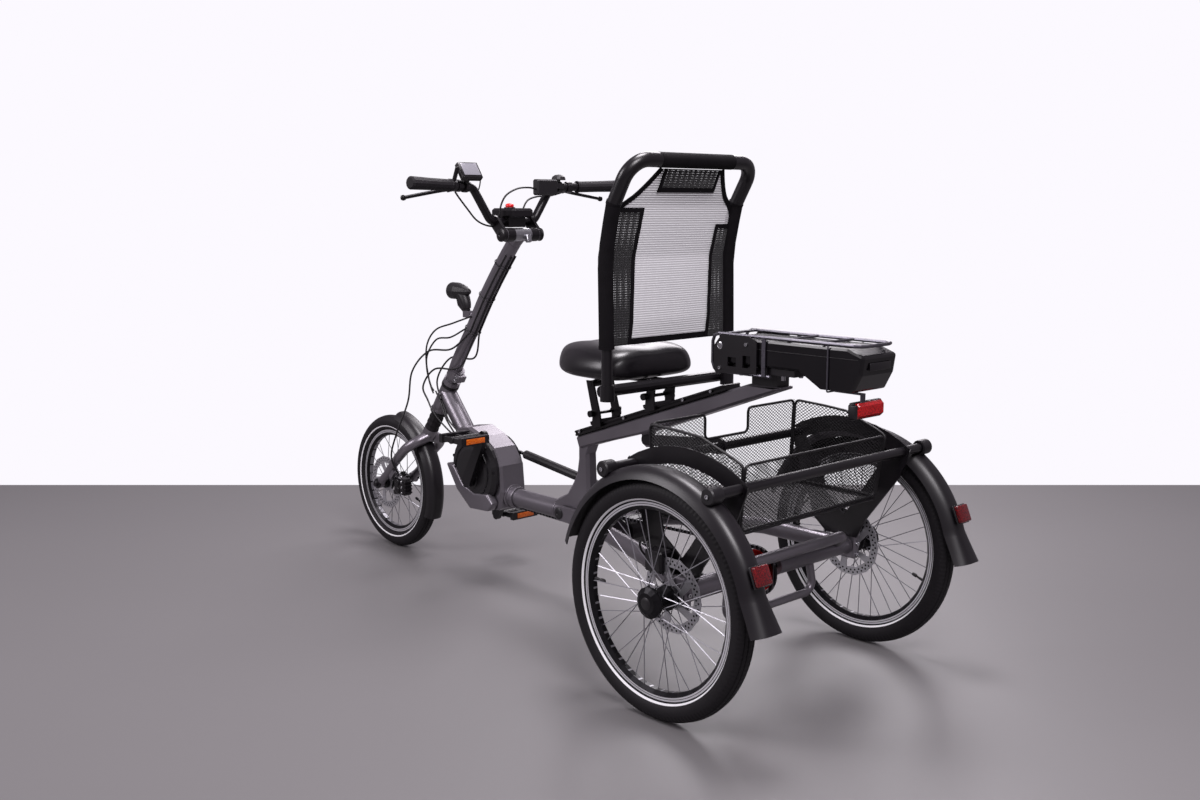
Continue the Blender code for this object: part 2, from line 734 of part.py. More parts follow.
def chain(name, first, first_r, second, second_r, y, steps):
    inner = two_circle_outline(first, first_r + CHAIN_GAP, second, second_r + CHAIN_GAP, steps)
    outer = two_circle_outline(first, first_r + CHAIN_GAP + CHAIN_HEIGHT, second,
                               second_r + CHAIN_GAP + CHAIN_HEIGHT, steps)
    node(name, DARK_METAL, [plate(outer, "Y", y, CHAIN_WIDTH, [inner])])


def chain_tube():
    bottom = CHAIN_GAP + CHAIN_HEIGHT / 2
    ends = [(0.900, chain_upper_z(0.900) + bottom), (0.512, chain_upper_z(0.512) + bottom)]
    outer = rod((ends[0][0], CHAIN_Y, ends[0][1]), (ends[1][0], CHAIN_Y, ends[1][1]),
                CHAIN_TUBE_R, 14)
    reach = 0.01
    inside = rod((ends[0][0] + reach, CHAIN_Y, ends[0][1] + reach * 0.1258),
                 (ends[1][0] - reach, CHAIN_Y, ends[1][1] - reach * 0.1258),
                 CHAIN_TUBE_R - 0.0020, 14)
    node("chain_tube", BLACK_PLASTIC, [outer], [inside])


def hub_gear():
    centre = (HUB_GEAR_X, 0, HUB_GEAR_Z)
    thick = 0.0015
    profile = [(0, HUB_OUTPUT_Y + thick), (HUB_OUTPUT_R, HUB_OUTPUT_Y + thick),
               (HUB_OUTPUT_R, HUB_OUTPUT_Y - thick), (0.018, HUB_OUTPUT_Y - thick),
               (0.018, 0.033), (0.036, 0.028), (0.036, -0.032), (0.020, -0.038),
               (0.020, CHAIN_Y + thick), (HUB_INPUT_R, CHAIN_Y + thick),
               (HUB_INPUT_R, CHAIN_Y - thick), (0, CHAIN_Y - thick)]
    axle_hole = bore((HUB_GEAR_X, -0.07, HUB_GEAR_Z), (HUB_GEAR_X, 0.07, HUB_GEAR_Z),
                     HUB_AXLE_R + RUNNING, 10)
    node("hub_gear", DARK_METAL, [turned(profile, centre, "Y", 18)], [axle_hole],
         origin=centre)


def differential():
    centre = (0, 0, AXLE_Z)
    thick = 0.0015
    sprocket_left = HUB_OUTPUT_Y + thick
    profile = [(SHAFT_BORE_R, DIFF_LEFT_Y), (0.030, DIFF_LEFT_Y), (0.036, 0.096),
               (0.042, 0.090), (0.042, 0.050), (0.034, sprocket_left),
               (DRIVE_SPROCKET_R, sprocket_left), (DRIVE_SPROCKET_R, HUB_OUTPUT_Y - thick),
               (0.024, HUB_OUTPUT_Y - thick), (0.020, 0.022), (SHAFT_BORE_R, 0.022)]
    node("differential", RED_METAL, [turned(profile, centre, "Y", 18, closed=True)],
         origin=centre)


chain("chain_front", CRANK_AXIS, CHAINRING_R, (HUB_GEAR_X, HUB_GEAR_Z), HUB_INPUT_R,
      CHAIN_Y, 12)
chain("chain_rear", (0, AXLE_Z), DRIVE_SPROCKET_R, (HUB_GEAR_X, HUB_GEAR_Z),
      HUB_OUTPUT_R, HUB_OUTPUT_Y, 8)
chain_tube()
hub_gear()
differential()


# Fork, boot, front fender and front brake

FORK_BLADE_Y = 0.060
FORK_BLADE_R = 0.0150
CROWN_R = 0.021


def fork():
    pieces = [rod(on_axis(-0.010), on_axis(HEAD_TOP_S), STEERER_R, 16)]
    pieces.append(rod(on_axis(-0.014), on_axis(0.024), CROWN_R, 16))
    for sign in (1, -1):
        route = [from_crown(-0.003, sign * 0.006, -0.007),
                 from_crown(0.009, sign * 0.044, -0.023),
                 from_crown(0.035, sign * FORK_BLADE_Y, -0.042),
                 from_front_axle(-0.1025, sign * FORK_BLADE_Y, 0.0935),
                 from_front_axle(-0.0455, sign * FORK_BLADE_Y, 0.0375),
                 from_front_axle(0, sign * FORK_BLADE_Y, 0)]
        pieces.append(tube(bent(route, 0.05, 2), FORK_BLADE_R + 0.001, 8, taper=0.72))
        pieces.append(rod((WHEELBASE, sign * (FORK_BLADE_Y - 0.0075), FRONT_TYRE_R),
                          (WHEELBASE, sign * (FORK_BLADE_Y + 0.0075), FRONT_TYRE_R),
                          0.0150, 14))
    pieces.append(rod(FRONT_AXLE - Vector((0, FORK_BLADE_Y + 0.014, 0)),
                      FRONT_AXLE + Vector((0, FORK_BLADE_Y + 0.014, 0)), FRONT_AXLE_R, 10))
    pieces.append(box(from_front_axle(-0.0725, FORK_BLADE_Y, 0.041), (0.018, 0.012, 0.030), 0.0,
                      math.radians(-42)))
    node("fork", GREY_PAINT, pieces, origin=CROWN)


def fork_boot():
    inner = round_hole(STEERER_R + SEAT, 12)
    length = HEAD_BOTTOM_S - 0.024 - 2 * SEAT
    profile = [(inner, 0), (0.0215, 0), (0.0190, 0.010), (0.0215, 0.020), (0.0190, 0.030),
               (0.0215, 0.040), (0.0190, 0.050), (0.0205, length), (inner, length)]
    node("fork_boot", GRIP_RUBBER,
         [turned(profile, on_axis(0.024 + SEAT), STEER_UP, 12, closed=True)], origin=CROWN)


FENDER_WALL = 0.002
FENDER_OVER_TYRE = 0.0215
FRONT_FENDER_R = FRONT_TYRE_R + FENDER_OVER_TYRE
FRONT_FENDER_HALF_W = 0.030


def fender_section(centre, crown_r, edge_drop, half_w, angle, spread=1.0):
    """Open section of a fender: points from one edge over the crown to the other."""
    result = []
    for share in (-1.0, -0.86, -0.42, 0.42, 0.86, 1.0):
        drop = edge_drop * abs(share) ** 3.2
        radius = crown_r - drop
        result.append(Vector((centre.x + radius * math.cos(angle),
                              centre.y + share * half_w * spread,
                              centre.z + radius * math.sin(angle))))
    return result


def front_fender():
    sections = [fender_section(FRONT_AXLE, FRONT_FENDER_R, 0.020, FRONT_FENDER_HALF_W,
                               math.radians(202 - 10.1 * i)) for i in range(11)]
    shell = loft(sections, FENDER_WALL, -1)
    up = (CROWN - FRONT_AXLE).normalized()
    pad = rod(FRONT_AXLE + up * (FRONT_FENDER_R - 0.0015),
              FRONT_AXLE + up * (FRONT_FENDER_R + 0.0027), 0.010, 10)
    node("front_fender", BLACK_PLASTIC, [shell, pad], origin=CROWN)


def front_caliper():
    body = box(from_front_axle(-0.097, 0.0415, 0.004), (0.056, 0.031, 0.050), 0.005)
    slot = rod((WHEELBASE, FRONT_DISC_Y - DISC_THICK / 2 - 0.0005, FRONT_TYRE_R),
               (WHEELBASE, FRONT_DISC_Y + DISC_THICK / 2 + 0.0005, FRONT_TYRE_R),
               DISC_R + 0.0015, 40)
    node("front_caliper", BLACK_PAINT, [body], [slot], origin=CROWN)


fork()
fork_boot()
front_fender()
front_caliper()


# Steering post with its clamp, the tilt barrel and the headlamp

POST_R = 0.019
POST_BOTTOM_S = HEAD_TOP_S + SEAT
BARREL = from_crown(-0.434, 0, 0.588)
BARREL_R = 0.017
BARREL_HALF = 0.053
LAMP_PIVOT = from_crown(-0.195, 0, 0.365)
LAMP_CHEEK_Y = 0.008


POST_ROUTE = smooth_route([on_axis(POST_BOTTOM_S + 0.004), from_crown(-0.149, 0, 0.227),
                           from_crown(-0.219, 0, 0.324), from_crown(-0.285, 0, 0.420),
                           from_crown(-0.356, 0, 0.509), from_crown(-0.407, 0, 0.567)], 2)


def down_the_post(turn, clearance, low_z, top_z):
    """Points beside the post from top to bottom, turned about it from straight ahead."""
    ahead = Vector((STEER_UP.z, 0, -STEER_UP.x))
    angle = math.radians(turn)
    away = ahead * math.cos(angle) + Vector((0, math.sin(angle), 0))
    return [place + away * (POST_R + clearance) for place in reversed(POST_ROUTE)
            if low_z <= place.z <= top_z]


def steering_post():
    pieces = [tube(POST_ROUTE, POST_R, 12)]
    pieces.append(rod(on_axis(POST_BOTTOM_S), on_axis(POST_BOTTOM_S + 0.014), 0.025, 18))
    pieces.append(rod(on_axis(POST_BOTTOM_S + 0.026), on_axis(POST_BOTTOM_S + 0.052),
                      0.0235, 16))
    pieces.append(box(on_axis(POST_BOTTOM_S + 0.039, -0.024), (0.020, 0.030, 0.022), 0.002,
                      math.radians(-35)))
    pieces.append(rod(BARREL - Vector((0, BARREL_HALF, 0)), BARREL + Vector((0, BARREL_HALF, 0)),
                      BARREL_R, 16))
    pieces.append(rod(from_crown(-0.397, 0, 0.557), BARREL, 0.0180, 14))
    pieces.append(rod(from_crown(-0.247, 0, 0.349), LAMP_PIVOT - Vector((0.016, 0, 0.0)),
                      0.008, 8))
    for sign in (1, -1):
        cheek = box(LAMP_PIVOT + Vector((-0.008, sign * LAMP_CHEEK_Y, 0)),
                    (0.030, 0.004, 0.018))
        pieces.append(cheek)
    pieces.append(box(LAMP_PIVOT - Vector((0.020, 0, 0)), (0.008, 2 * LAMP_CHEEK_Y, 0.018)))
    node("steering_post", GREY_PAINT, pieces, origin=CROWN)


def headlamp():
    lens_front = from_crown(-0.123, 0, 0.427)
    head = turned([(0, 0.046), (0.017, 0.046), (0.0235, 0.040), (0.0235, 0.012),
                   (0.017, -0.016), (0.008, -0.036), (0, -0.040)],
                  lens_front - Vector((0.046, 0, 0.0)), "X", 20)
    neck_half = LAMP_CHEEK_Y - 0.002 - SEAT
    neck = plate([(CROWN_X - 0.183, CROWN_Z + 0.417), (CROWN_X - 0.151, CROWN_Z + 0.412),
                  (CROWN_X - 0.159, CROWN_Z + 0.387)]
                 + arc((LAMP_PIVOT.x, LAMP_PIVOT.z), 0.0095, 20, -200, 8)[:-1]
                 + [(CROWN_X - 0.201, CROWN_Z + 0.387)], "Y", 0, 2 * neck_half)
    node("headlamp", BLACK_PLASTIC, [head, neck], origin=LAMP_PIVOT)


steering_post()
headlamp()


# Handlebar with its stem head, grips, controls and levers

BAR_R = 0.011
BAR_BEND_R = 0.030
BAR_CENTRE = from_crown(-0.397, 0, 0.622)
GRIP_R = 0.0165
GRIP_START_Y = 0.2105
BAR_END_Y = 0.345
BAR_RISE = from_crown(-0.402, 0.131, 0.711)
BAR_END = from_crown(-0.446, BAR_END_Y, 0.717)
LEVER_PIVOT = from_crown(-0.385, 0.190, 0.704)
LEVER_TIP = from_crown(-0.385, 0.329, 0.682)


def mirrored(point, sign):
    return Vector((point[0], sign * point[1], point[2]))


def on_bar(y, sign=1):
    """Point on the straight outer part of the bar."""
    share = (y - BAR_RISE.y) / (BAR_END.y - BAR_RISE.y)
    return mirrored(BAR_RISE.lerp(BAR_END, share), sign)


def lever_axis(sign):
    """Direction about which a brake lever closes towards its grip."""
    blade = mirrored(LEVER_TIP, sign) - mirrored(LEVER_PIVOT, sign)
    inward = on_bar(0.26, sign) - mirrored(LEVER_PIVOT.lerp(LEVER_TIP, 0.5), sign)
    return blade.cross(inward).normalized()


def bar_hole(y0, y1, clearance, sign):
    return bore(on_bar(y0, sign), on_bar(y1, sign), BAR_R + clearance, 12)


def bar_ring(y0, y1, radius, sign, sides=12):
    return rod(on_bar(y0, sign), on_bar(y1, sign), radius, sides)


def handlebar():
    route = [BAR_END, BAR_RISE, from_crown(-0.401, 0.071, 0.621),
             from_crown(-0.401, -0.071, 0.621), mirrored(BAR_RISE, -1), mirrored(BAR_END, -1)]
    pieces = [tube(bent(route, BAR_BEND_R, 3), BAR_R, 8)]
    cheek_y = BARREL_HALF + SEAT + 0.004
    notches = []
    for sign in (1, -1):
        cheek = plate(two_circle_outline((BARREL.x, BARREL.z), 0.0165,
                                         (BAR_CENTRE.x - 0.003, BAR_CENTRE.z), 0.0165, 4),
                      "Y", sign * cheek_y, 0.008)
        perch = bar_ring(0.178, 0.192, 0.0155, sign, 10)
        pivot = mirrored(LEVER_PIVOT, sign)
        arm = rod(on_bar(0.185, sign), pivot, 0.0075, 8)
        lift = lever_axis(sign) * 0.012
        notches.append(bore(pivot - lift, pivot + lift, LEVER_EYE_R + RUNNING, 12))
        pieces += [cheek, perch, arm]
    cover = box(from_crown(-0.401, 0, 0.6435), (0.092, 0.070, 0.022), 0.004)
    clamp = box(from_crown(-0.399, 0, 0.624), (0.044, 0.056, 0.034))
    pieces += [cover, clamp]
    button_well = bore((BUTTON.x, 0, CROWN_Z + 0.647), (BUTTON.x, 0, CROWN_Z + 0.677),
                       BUTTON_R + RUNNING, 14)
    node("handlebar", BLACK_PAINT, pieces, [*notches, button_well], origin=BARREL)


LEVER_EYE_R = 0.0085
BUTTON = from_crown(-0.390, 0, 0.6555)
BUTTON_R = 0.011


def stem_button():
    node("stem_button", RED_PLASTIC,
         [turned([(0, 0.0085), (0.008, 0.0078), (BUTTON_R, 0.005), (BUTTON_R, -0.004),
                  (0, -0.004)], BUTTON, "Z", 14)], origin=BUTTON)


def grip(side, sign):
    start = on_bar(GRIP_START_Y, sign)
    end = on_bar(BAR_END_Y, sign)
    length = (end - start).length + 0.006
    inner = round_hole(BAR_R + SEAT, 14)
    profile = [(0, length), (0.0120, length), (GRIP_R, length - 0.004),
               (0.0152, length * 0.5), (0.0150, 0.006), (GRIP_R, 0.004), (GRIP_R, 0),
               (inner, 0), (inner, length - 0.006 + SEAT), (0, length - 0.006 + SEAT)]
    ring = turned(profile, start, (end - start).normalized(), 14)
    node("grip_" + side, GRIP_RUBBER, [ring], origin=BARREL)


def brake_lever(side, sign):
    pivot = mirrored(LEVER_PIVOT, sign)
    lift = lever_axis(sign) * 0.0048
    tip = mirrored(LEVER_TIP, sign)
    knee = mirrored(LEVER_PIVOT.lerp(LEVER_TIP, 0.30) + Vector((0.007, 0, 0)), sign)
    blade = tube(smooth_route([pivot, knee, tip], 3), 0.0045, 8)
    eye = rod(pivot - lift, pivot + lift, LEVER_EYE_R, 12)
    bead = rod(tip - Vector((0, 0, 0.0055)), tip + Vector((0, 0, 0.0055)), 0.0062, 10)
    node("brake_lever_" + side, BLACK_PAINT, [eye, blade, bead], origin=pivot)


def display_unit():
    tilt = math.radians(-55)
    ring = bar_ring(0.152, 0.166, 0.0160, 1)
    neck = rod(on_bar(0.158) + Vector((-0.006, 0, 0.009)), from_crown(-0.426, 0.160, 0.743),
               0.0075, 10)
    case = box(from_crown(-0.428, 0.160, 0.747), (0.050, 0.064, 0.016), 0.004, tilt)
    node("display_unit", BLACK_PLASTIC, [case, neck, ring], [bar_hole(0.140, 0.175, SEAT, 1)],
         origin=BARREL)


def shift_paddle():
    ring = bar_ring(0.1955, 0.2075, 0.0150, 1)
    blade = box(on_bar(0.2015) + Vector((-0.012, 0, 0.026)), (0.006, 0.012, 0.044), 0.002,
                math.radians(-25))
    node("shift_paddle", BLACK_PLASTIC, [ring, blade], [bar_hole(0.18, 0.23, RUNNING, 1)],
         origin=on_bar(0.2015))


def control_box():
    ring = bar_ring(0.150, 0.162, 0.0155, -1)
    case = box(from_crown(-0.427, -0.092, 0.711), (0.024, 0.070, 0.042), 0.004)
    link = box(from_crown(-0.423, -0.139, 0.715), (0.012, 0.034, 0.014))
    bell = turned([(0, 0.012), (0.010, 0.0105), (0.017, 0.006), (0.019, 0), (0.019, -0.003),
                   (0, -0.003)], on_bar(0.156, -1) + Vector((0, 0, 0.0225)), "Z", 14)
    stalk = rod(on_bar(0.156, -1) + Vector((0, 0, 0.012)),
                on_bar(0.156, -1) + Vector((0, 0, 0.021)), 0.005, 8)
    node("control_box", BLACK_PLASTIC, [case, link, ring, stalk, bell],
         [bar_hole(0.140, 0.175, SEAT, -1)], origin=BARREL)


handlebar()
stem_button()
both_sides(grip)
both_sides(brake_lever)
display_unit()
shift_paddle()
control_box()


# Cables that ride with the steering

CABLE_R = 0.0024


CABLE_LOW_Z = CROWN_Z + 0.317
CABLE_TOP_Z = CROWN_Z + 0.542


def cable(name, turn, free_route):
    """Cable that lies against the post, then runs on through free points."""
    against = down_the_post(turn, CABLE_R + SEAT, CABLE_LOW_Z, CABLE_TOP_Z)
    route = against[:-1] + smooth_route([against[-1], *free_route], 2)
    node(name, CABLE_BLACK, [tube(route, CABLE_R, 6)], origin=CROWN)


cable("cable_front_brake", 128, [(1.120, 0.036, 0.640), (1.225, 0.040, 0.625),
                                 (1.304, 0.044, 0.560), (1.318, 0.052, 0.470),
                                 (1.338, 0.0815, 0.375), (1.368, 0.0815, 0.300),
                                 (1.374, 0.050, 0.2345)])
cable("cable_gear", 172, [(1.100, 0.022, 0.590), (1.205, 0.034, 0.575),
                          (1.262, 0.036, 0.520), (1.247, 0.030, 0.478)])
cable("cable_rear_brake", 218, [(1.110, -0.036, 0.610), (1.225, -0.038, 0.600),
                                (1.290, -0.034, 0.530), (1.262, -0.030, 0.462)])


# Seat rail on the beam, sliding carriage, knobs, backrest, saddle

RAIL_HALF_W = 0.028
RAIL_HEIGHT = 0.014
RAIL_FRONT_X = 0.608
RAIL_REAR_X = 0.108
UP_BEAM = Vector((-math.cos(BEAM_SLOPE), 0, math.sin(BEAM_SLOPE)))
OFF_BEAM = Vector((math.sin(BEAM_SLOPE), 0, math.cos(BEAM_SLOPE)))
LEG_Y = 0.033
LEG_THICK = 0.005


def over_beam(x, off):
    """Point above the beam's top line by off, square to the beam."""
    return Vector((x, 0, beam_top(x))) + OFF_BEAM * off


def seat_rail():
    front = over_beam(RAIL_FRONT_X, SEAT + RAIL_HEIGHT / 2)
    rear = over_beam(RAIL_REAR_X, SEAT + RAIL_HEIGHT / 2)
    rail = box((front + rear) / 2, ((front - rear).length, 2 * RAIL_HALF_W, RAIL_HEIGHT),
               0.002, BEAM_SLOPE)
    grooves = []
    for sign in (1, -1):
        grooves.append(box((front + rear) / 2 + Vector((0, sign * RAIL_HALF_W, 0)),
                           ((front - rear).length + 0.02, 0.008, 0.005), 0, BEAM_SLOPE))
    node("seat_rail", BLACK_PAINT, [rail], grooves)


REAR_LEG_X = 0.335
FRONT_LEG_X = 0.520
CROSS_X = 0.331
CROSS_Z = 0.622
CROSS_R = 0.0135
BACK_TUBE_Y = 0.200
BACK_TUBE_R = 0.0125
SLEEVE_R = 0.0165
KNOB_Z_OFF = 0.026


def leg_foot(x):
    return over_beam(x, SEAT + RAIL_HEIGHT + SEAT)


def seat_carriage():
    pieces = [rod((CROSS_X, -BACK_TUBE_Y + 0.004, CROSS_Z), (CROSS_X, BACK_TUBE_Y - 0.004, CROSS_Z),
                  CROSS_R, 12)]
    for x, top_x, top_z in ((REAR_LEG_X, CROSS_X, CROSS_Z), (FRONT_LEG_X, 0.546, 0.606)):
        foot = leg_foot(x)
        low = foot - OFF_BEAM * 0.009
        bridge = box(foot + OFF_BEAM * 0.0045, (0.034, 2 * LEG_Y + LEG_THICK, 0.009), 0,
                     BEAM_SLOPE)
        pieces.append(bridge)
        for sign in (1, -1):
            outline = [(low.x + 0.016, low.z - 0.004), (low.x + 0.013, low.z + 0.030),
                       (top_x + 0.012, top_z + 0.004), (top_x - 0.012, top_z + 0.004),
                       (low.x - 0.013, low.z + 0.032), (low.x - 0.016, low.z + 0.004)]
            pieces.append(plate(outline, "Y", sign * LEG_Y, LEG_THICK))
        knob = foot + OFF_BEAM * KNOB_Z_OFF
        pieces.append(rod(knob - Vector((0, LEG_Y + 0.020, 0)), knob + Vector((0, LEG_Y + 0.011, 0)),
                          0.004, 8))
        pieces.append(rod(knob + Vector((0, LEG_Y, 0)), knob + Vector((0, LEG_Y + 0.014, 0)),
                          0.0085, 8))
    pieces.append(rod((0.546, -0.036, 0.602), (0.546, 0.036, 0.602), 0.0085, 12))
    for sign in (1, -1):
        pieces.append(tube([(0.552, sign * 0.022, 0.604), (0.500, sign * 0.022, 0.626),
                            (0.350, sign * 0.022, 0.6285), (0.325, sign * 0.022, 0.622)],
                           0.0042, 6))
    node("seat_carriage", BLACK_PAINT, pieces)


def seat_knob(name, x):
    centre = leg_foot(x) + OFF_BEAM * KNOB_Z_OFF - Vector((0, LEG_Y + LEG_THICK / 2 + SEAT, 0))
    lobes = []
    for index in range(20):
        angle = math.tau * index / 20
        radius = 0.0135 + 0.0018 * math.cos(5 * angle)
        lobes.append((centre.x + radius * math.cos(angle), centre.z + radius * math.sin(angle)))
    hole = circle((centre.x, centre.z), round_hole(0.004 + SEAT, 8), 8)
    node(name, BLACK_PLASTIC, [plate(lobes, "Y", centre.y - 0.007, 0.014, [hole])],
         origin=centre)


BACK_LOW = Vector((0.305, BACK_TUBE_Y, 0.610))
BACK_MID = Vector((0.312, BACK_TUBE_Y, 0.922))
BACK_BEND = Vector((0.287, BACK_TUBE_Y, 1.037))
BACK_TOP = Vector((0.230, BACK_TUBE_Y, 1.134))
SLEEVE_BOTTOM_Z = 0.722


def back_x(z):
    """Forward place of the backrest tubes at height z."""
    corners = [BACK_LOW, BACK_MID, BACK_BEND, BACK_TOP]
    for low, high in zip(corners, corners[1:]):
        if z <= high.z:
            return low.x + (high.x - low.x) * (z - low.z) / (high.z - low.z)
    return BACK_TOP.x


def backrest_frame():
    low = Vector((back_x(SLEEVE_BOTTOM_Z), BACK_TUBE_Y, SLEEVE_BOTTOM_Z))
    left = [low, BACK_MID, BACK_BEND, BACK_TOP]
    loop = [*left, *[mirrored(point, -1) for point in reversed(left)]]
    pieces = [tube(bent(loop, 0.060, 2), SLEEVE_R, 10)]
    for sign in (1, -1):
        pieces.append(rod(mirrored(BACK_LOW, sign), mirrored(low + Vector((0, 0, 0.02)), sign),
                          BACK_TUBE_R, 10))
        socket_x = CROSS_X - 0.026
        pieces.append(rod((socket_x, sign * BACK_TUBE_Y, CROSS_Z - 0.018),
                          (socket_x, sign * BACK_TUBE_Y, CROSS_Z + 0.018), 0.0165, 12))
    cut = bore((CROSS_X, -0.3, CROSS_Z), (CROSS_X, 0.3, CROSS_Z), CROSS_R + SEAT, 12)
    node("backrest_frame", BLACK_PAINT, pieces, [cut])


MESH_THICK = 0.002
MESH_BOTTOM_Z = 0.730
MESH_CORNER_Z = 1.045
MESH_TOP_Z = 1.112


def backrest_mesh():
    half = BACK_TUBE_Y - SLEEVE_R - SEAT
    rows = [(MESH_BOTTOM_Z, half), (0.83, half), (0.922, half), (0.985, half - 0.004),
            (MESH_CORNER_Z, half - 0.010), (1.082, half - 0.040), (MESH_TOP_Z, half - 0.070)]
    sections = []
    for z, half_w in rows:
        sections.append([Vector((back_x(z), half_w * share, z)) for share in (-1, -0.5, 0, 0.5, 1)])
    node("backrest_mesh", BACK_FABRIC, [loft(sections, MESH_THICK, 0)])


SADDLE_SETTLE = 0.0068
SADDLE_BOTTOM_Z = 0.6285 + 0.0042 + SEAT - SADDLE_SETTLE
SADDLE_TOP_Z = 0.718


def saddle():
    shape = [(0.337, 0.094, 0.024, 0.064), (0.354, 0.140, 0.010, 0.086), (0.405, 0.160, 0.005, 0.090),
             (0.470, 0.161, 0.004, 0.090), (0.530, 0.147, 0.005, 0.086), (0.575, 0.117, 0.008, 0.081),
             (0.615, 0.076, 0.012, 0.074), (0.652, 0.036, 0.024, 0.060)]
    work = bmesh.new()
    rows = []
    for x, half, under, top in shape:
        ring = [(0, 0), (0.80, 0), (1.02, 0.36), (0.84, 0.86), (0.36, 1.0), (0, 0.95),
                (-0.36, 1.0), (-0.84, 0.86), (-1.02, 0.36), (-0.80, 0)]
        row = []
        for across, up in ring:
            z = SADDLE_BOTTOM_Z + under + (top - under) * up
            row.append(work.verts.new((x, half * across, z)))
        rows.append(row)
    for row, following in zip(rows, rows[1:]):
        for i in range(len(row)):
            j = (i + 1) % len(row)
            work.faces.new((row[i], row[j], following[j], following[i]))
    work.faces.new(rows[0])
    work.faces.new(list(reversed(rows[-1])))
    ob = piece_from_bmesh(work, 80)
    soften = ob.modifiers.new("Soften", "SUBSURF")
    soften.levels = 1
    soften.render_levels = 1
    node("saddle", SEAT_VINYL, [ob])


seat_rail()
seat_carriage()
seat_knob("seat_knob_rear", REAR_LEG_X)
seat_knob("seat_knob_front", FRONT_LEG_X)
backrest_frame()
backrest_mesh()
saddle()


# Battery, its holder, the rack and the tail light

BATTERY_HALF_W = 0.057
BATTERY_TOP_Z = 0.757
BATTERY_FRONT_X = 0.080
BATTERY_REAR_X = -0.275
BATTERY_MID_Z = 0.698
BATTERY_LOW_Z = 0.668
RACK_ROD_R = 0.00375
RACK_Y = 0.055
RACK_Z = BATTERY_TOP_Z + RACK_ROD_R + 0.0015
RACK_LOW_Z = 0.680
HOLDER_Y = 0.0618
HOLDER_THICK = 0.003


def battery():
    outline = [(BATTERY_FRONT_X, BATTERY_MID_Z), (BATTERY_FRONT_X, BATTERY_TOP_Z - 0.010),
               (BATTERY_FRONT_X - 0.010, BATTERY_TOP_Z), (-0.235, BATTERY_TOP_Z),
               (BATTERY_REAR_X, BATTERY_TOP_Z - 0.014), (BATTERY_REAR_X + 0.006, 0.704),
               (-0.250, BATTERY_LOW_Z), (-0.168, BATTERY_LOW_Z), (-0.116, BATTERY_MID_Z)]
    body = plate(outline, "Y", 0, 2 * BATTERY_HALF_W)
    bevel = body.modifiers.new("Round", "BEVEL")
    bevel.width = 0.006
    bevel.segments = 2
    bevel.limit_method = "ANGLE"
    bevel.angle_limit = math.radians(60)
    node("battery", GLOSS_PLASTIC, [body])


def battery_holder():
    base_top = BATTERY_MID_Z - SEAT
    base_low = RACK_LOW_Z + RACK_ROD_R + SEAT
    base = box((0.005, 0, (base_top + base_low) / 2), (0.210, 0.100, base_top - base_low))
    pedestal = box((0.004, 0, (BEAM_FLAT_Z + SEAT + base_low + 0.002) / 2),
                   (0.070, 0.040, base_low + 0.002 - BEAM_FLAT_Z - SEAT))
    front = box((0.0985, 0, (base_low + 0.735) / 2), (0.004, 2 * HOLDER_Y, 0.735 - base_low))
    pieces = [base, pedestal, front]
    for sign in (1, -1):
        outline = [(-0.008, 0.684), (0.105, 0.676), (0.112, 0.684), (0.112, 0.735),
                   (0.090, 0.762), (0.012, 0.762), (-0.008, 0.748)]
        windows = [[(0.008, 0.694), (0.030, 0.694), (0.030, 0.720), (0.008, 0.720)],
                   [(0.048, 0.694), (0.072, 0.694), (0.072, 0.714), (0.048, 0.714)]]
        pieces.append(plate(outline, "Y", sign * HOLDER_Y, HOLDER_THICK, windows))
    for sign in (1, -1):
        pieces.append(box((0.005, sign * 0.0555, base_top - 0.004), (0.018, 0.016, 0.006)))
    node("battery_holder", BLACK_PAINT, pieces)


def rack():
    rear_x = -0.268
    pieces = []
    loop = [(-0.040, RACK_Y, RACK_LOW_Z), (0.122, RACK_Y, RACK_LOW_Z), (0.122, RACK_Y, RACK_Z),
            (rear_x, RACK_Y, RACK_Z), (rear_x, -RACK_Y, RACK_Z), (0.122, -RACK_Y, RACK_Z),
            (0.122, -RACK_Y, RACK_LOW_Z), (-0.040, -RACK_Y, RACK_LOW_Z)]
    pieces.append(tube(bent(loop, 0.018, 2), RACK_ROD_R, 8))
    for x in (0.090, -0.080, -0.170):
        pieces.append(rod((x, -RACK_Y, RACK_Z), (x, RACK_Y, RACK_Z), 0.0030, 6))
    side = RACK_Y + RACK_ROD_R + 0.0004
    for sign in (1, -1):
        pieces.append(box((-0.025, sign * side, (RACK_Z + RACK_LOW_Z) / 2),
                          (0.010, 0.003, RACK_Z - RACK_LOW_Z)))
    strap_low = BATTERY_LOW_Z - SEAT - 0.0015
    strap = tube(bent([(-0.190, side, RACK_Z), (-0.190, side, strap_low - 0.001),
                       (-0.190, -side, strap_low - 0.001), (-0.190, -side, RACK_Z)],
                      0.003, 2), 0.0018, 6)
    lamp_arm = box((-0.216, 0.017, strap_low - 0.0035), (0.066, 0.014, 0.003))
    lamp_drop = box((-0.2475, 0.017, strap_low - 0.011), (0.003, 0.014, 0.018))
    pieces += [strap, lamp_arm, lamp_drop]
    node("rack", RACK_METAL, pieces)


def tail_light():
    top = BATTERY_LOW_Z - SEAT - 0.0015 - 0.011 - 0.009 - SEAT
    height = 0.031
    body = box((-0.246, -0.004, top - height / 2), (0.020, 0.092, height), 0.006)
    node("tail_light", RED_LENS, [body])


battery()
battery_holder()
rack()
tail_light()


# Rear fenders with reflectors, wheel brackets, cross bars, basket, rear brakes

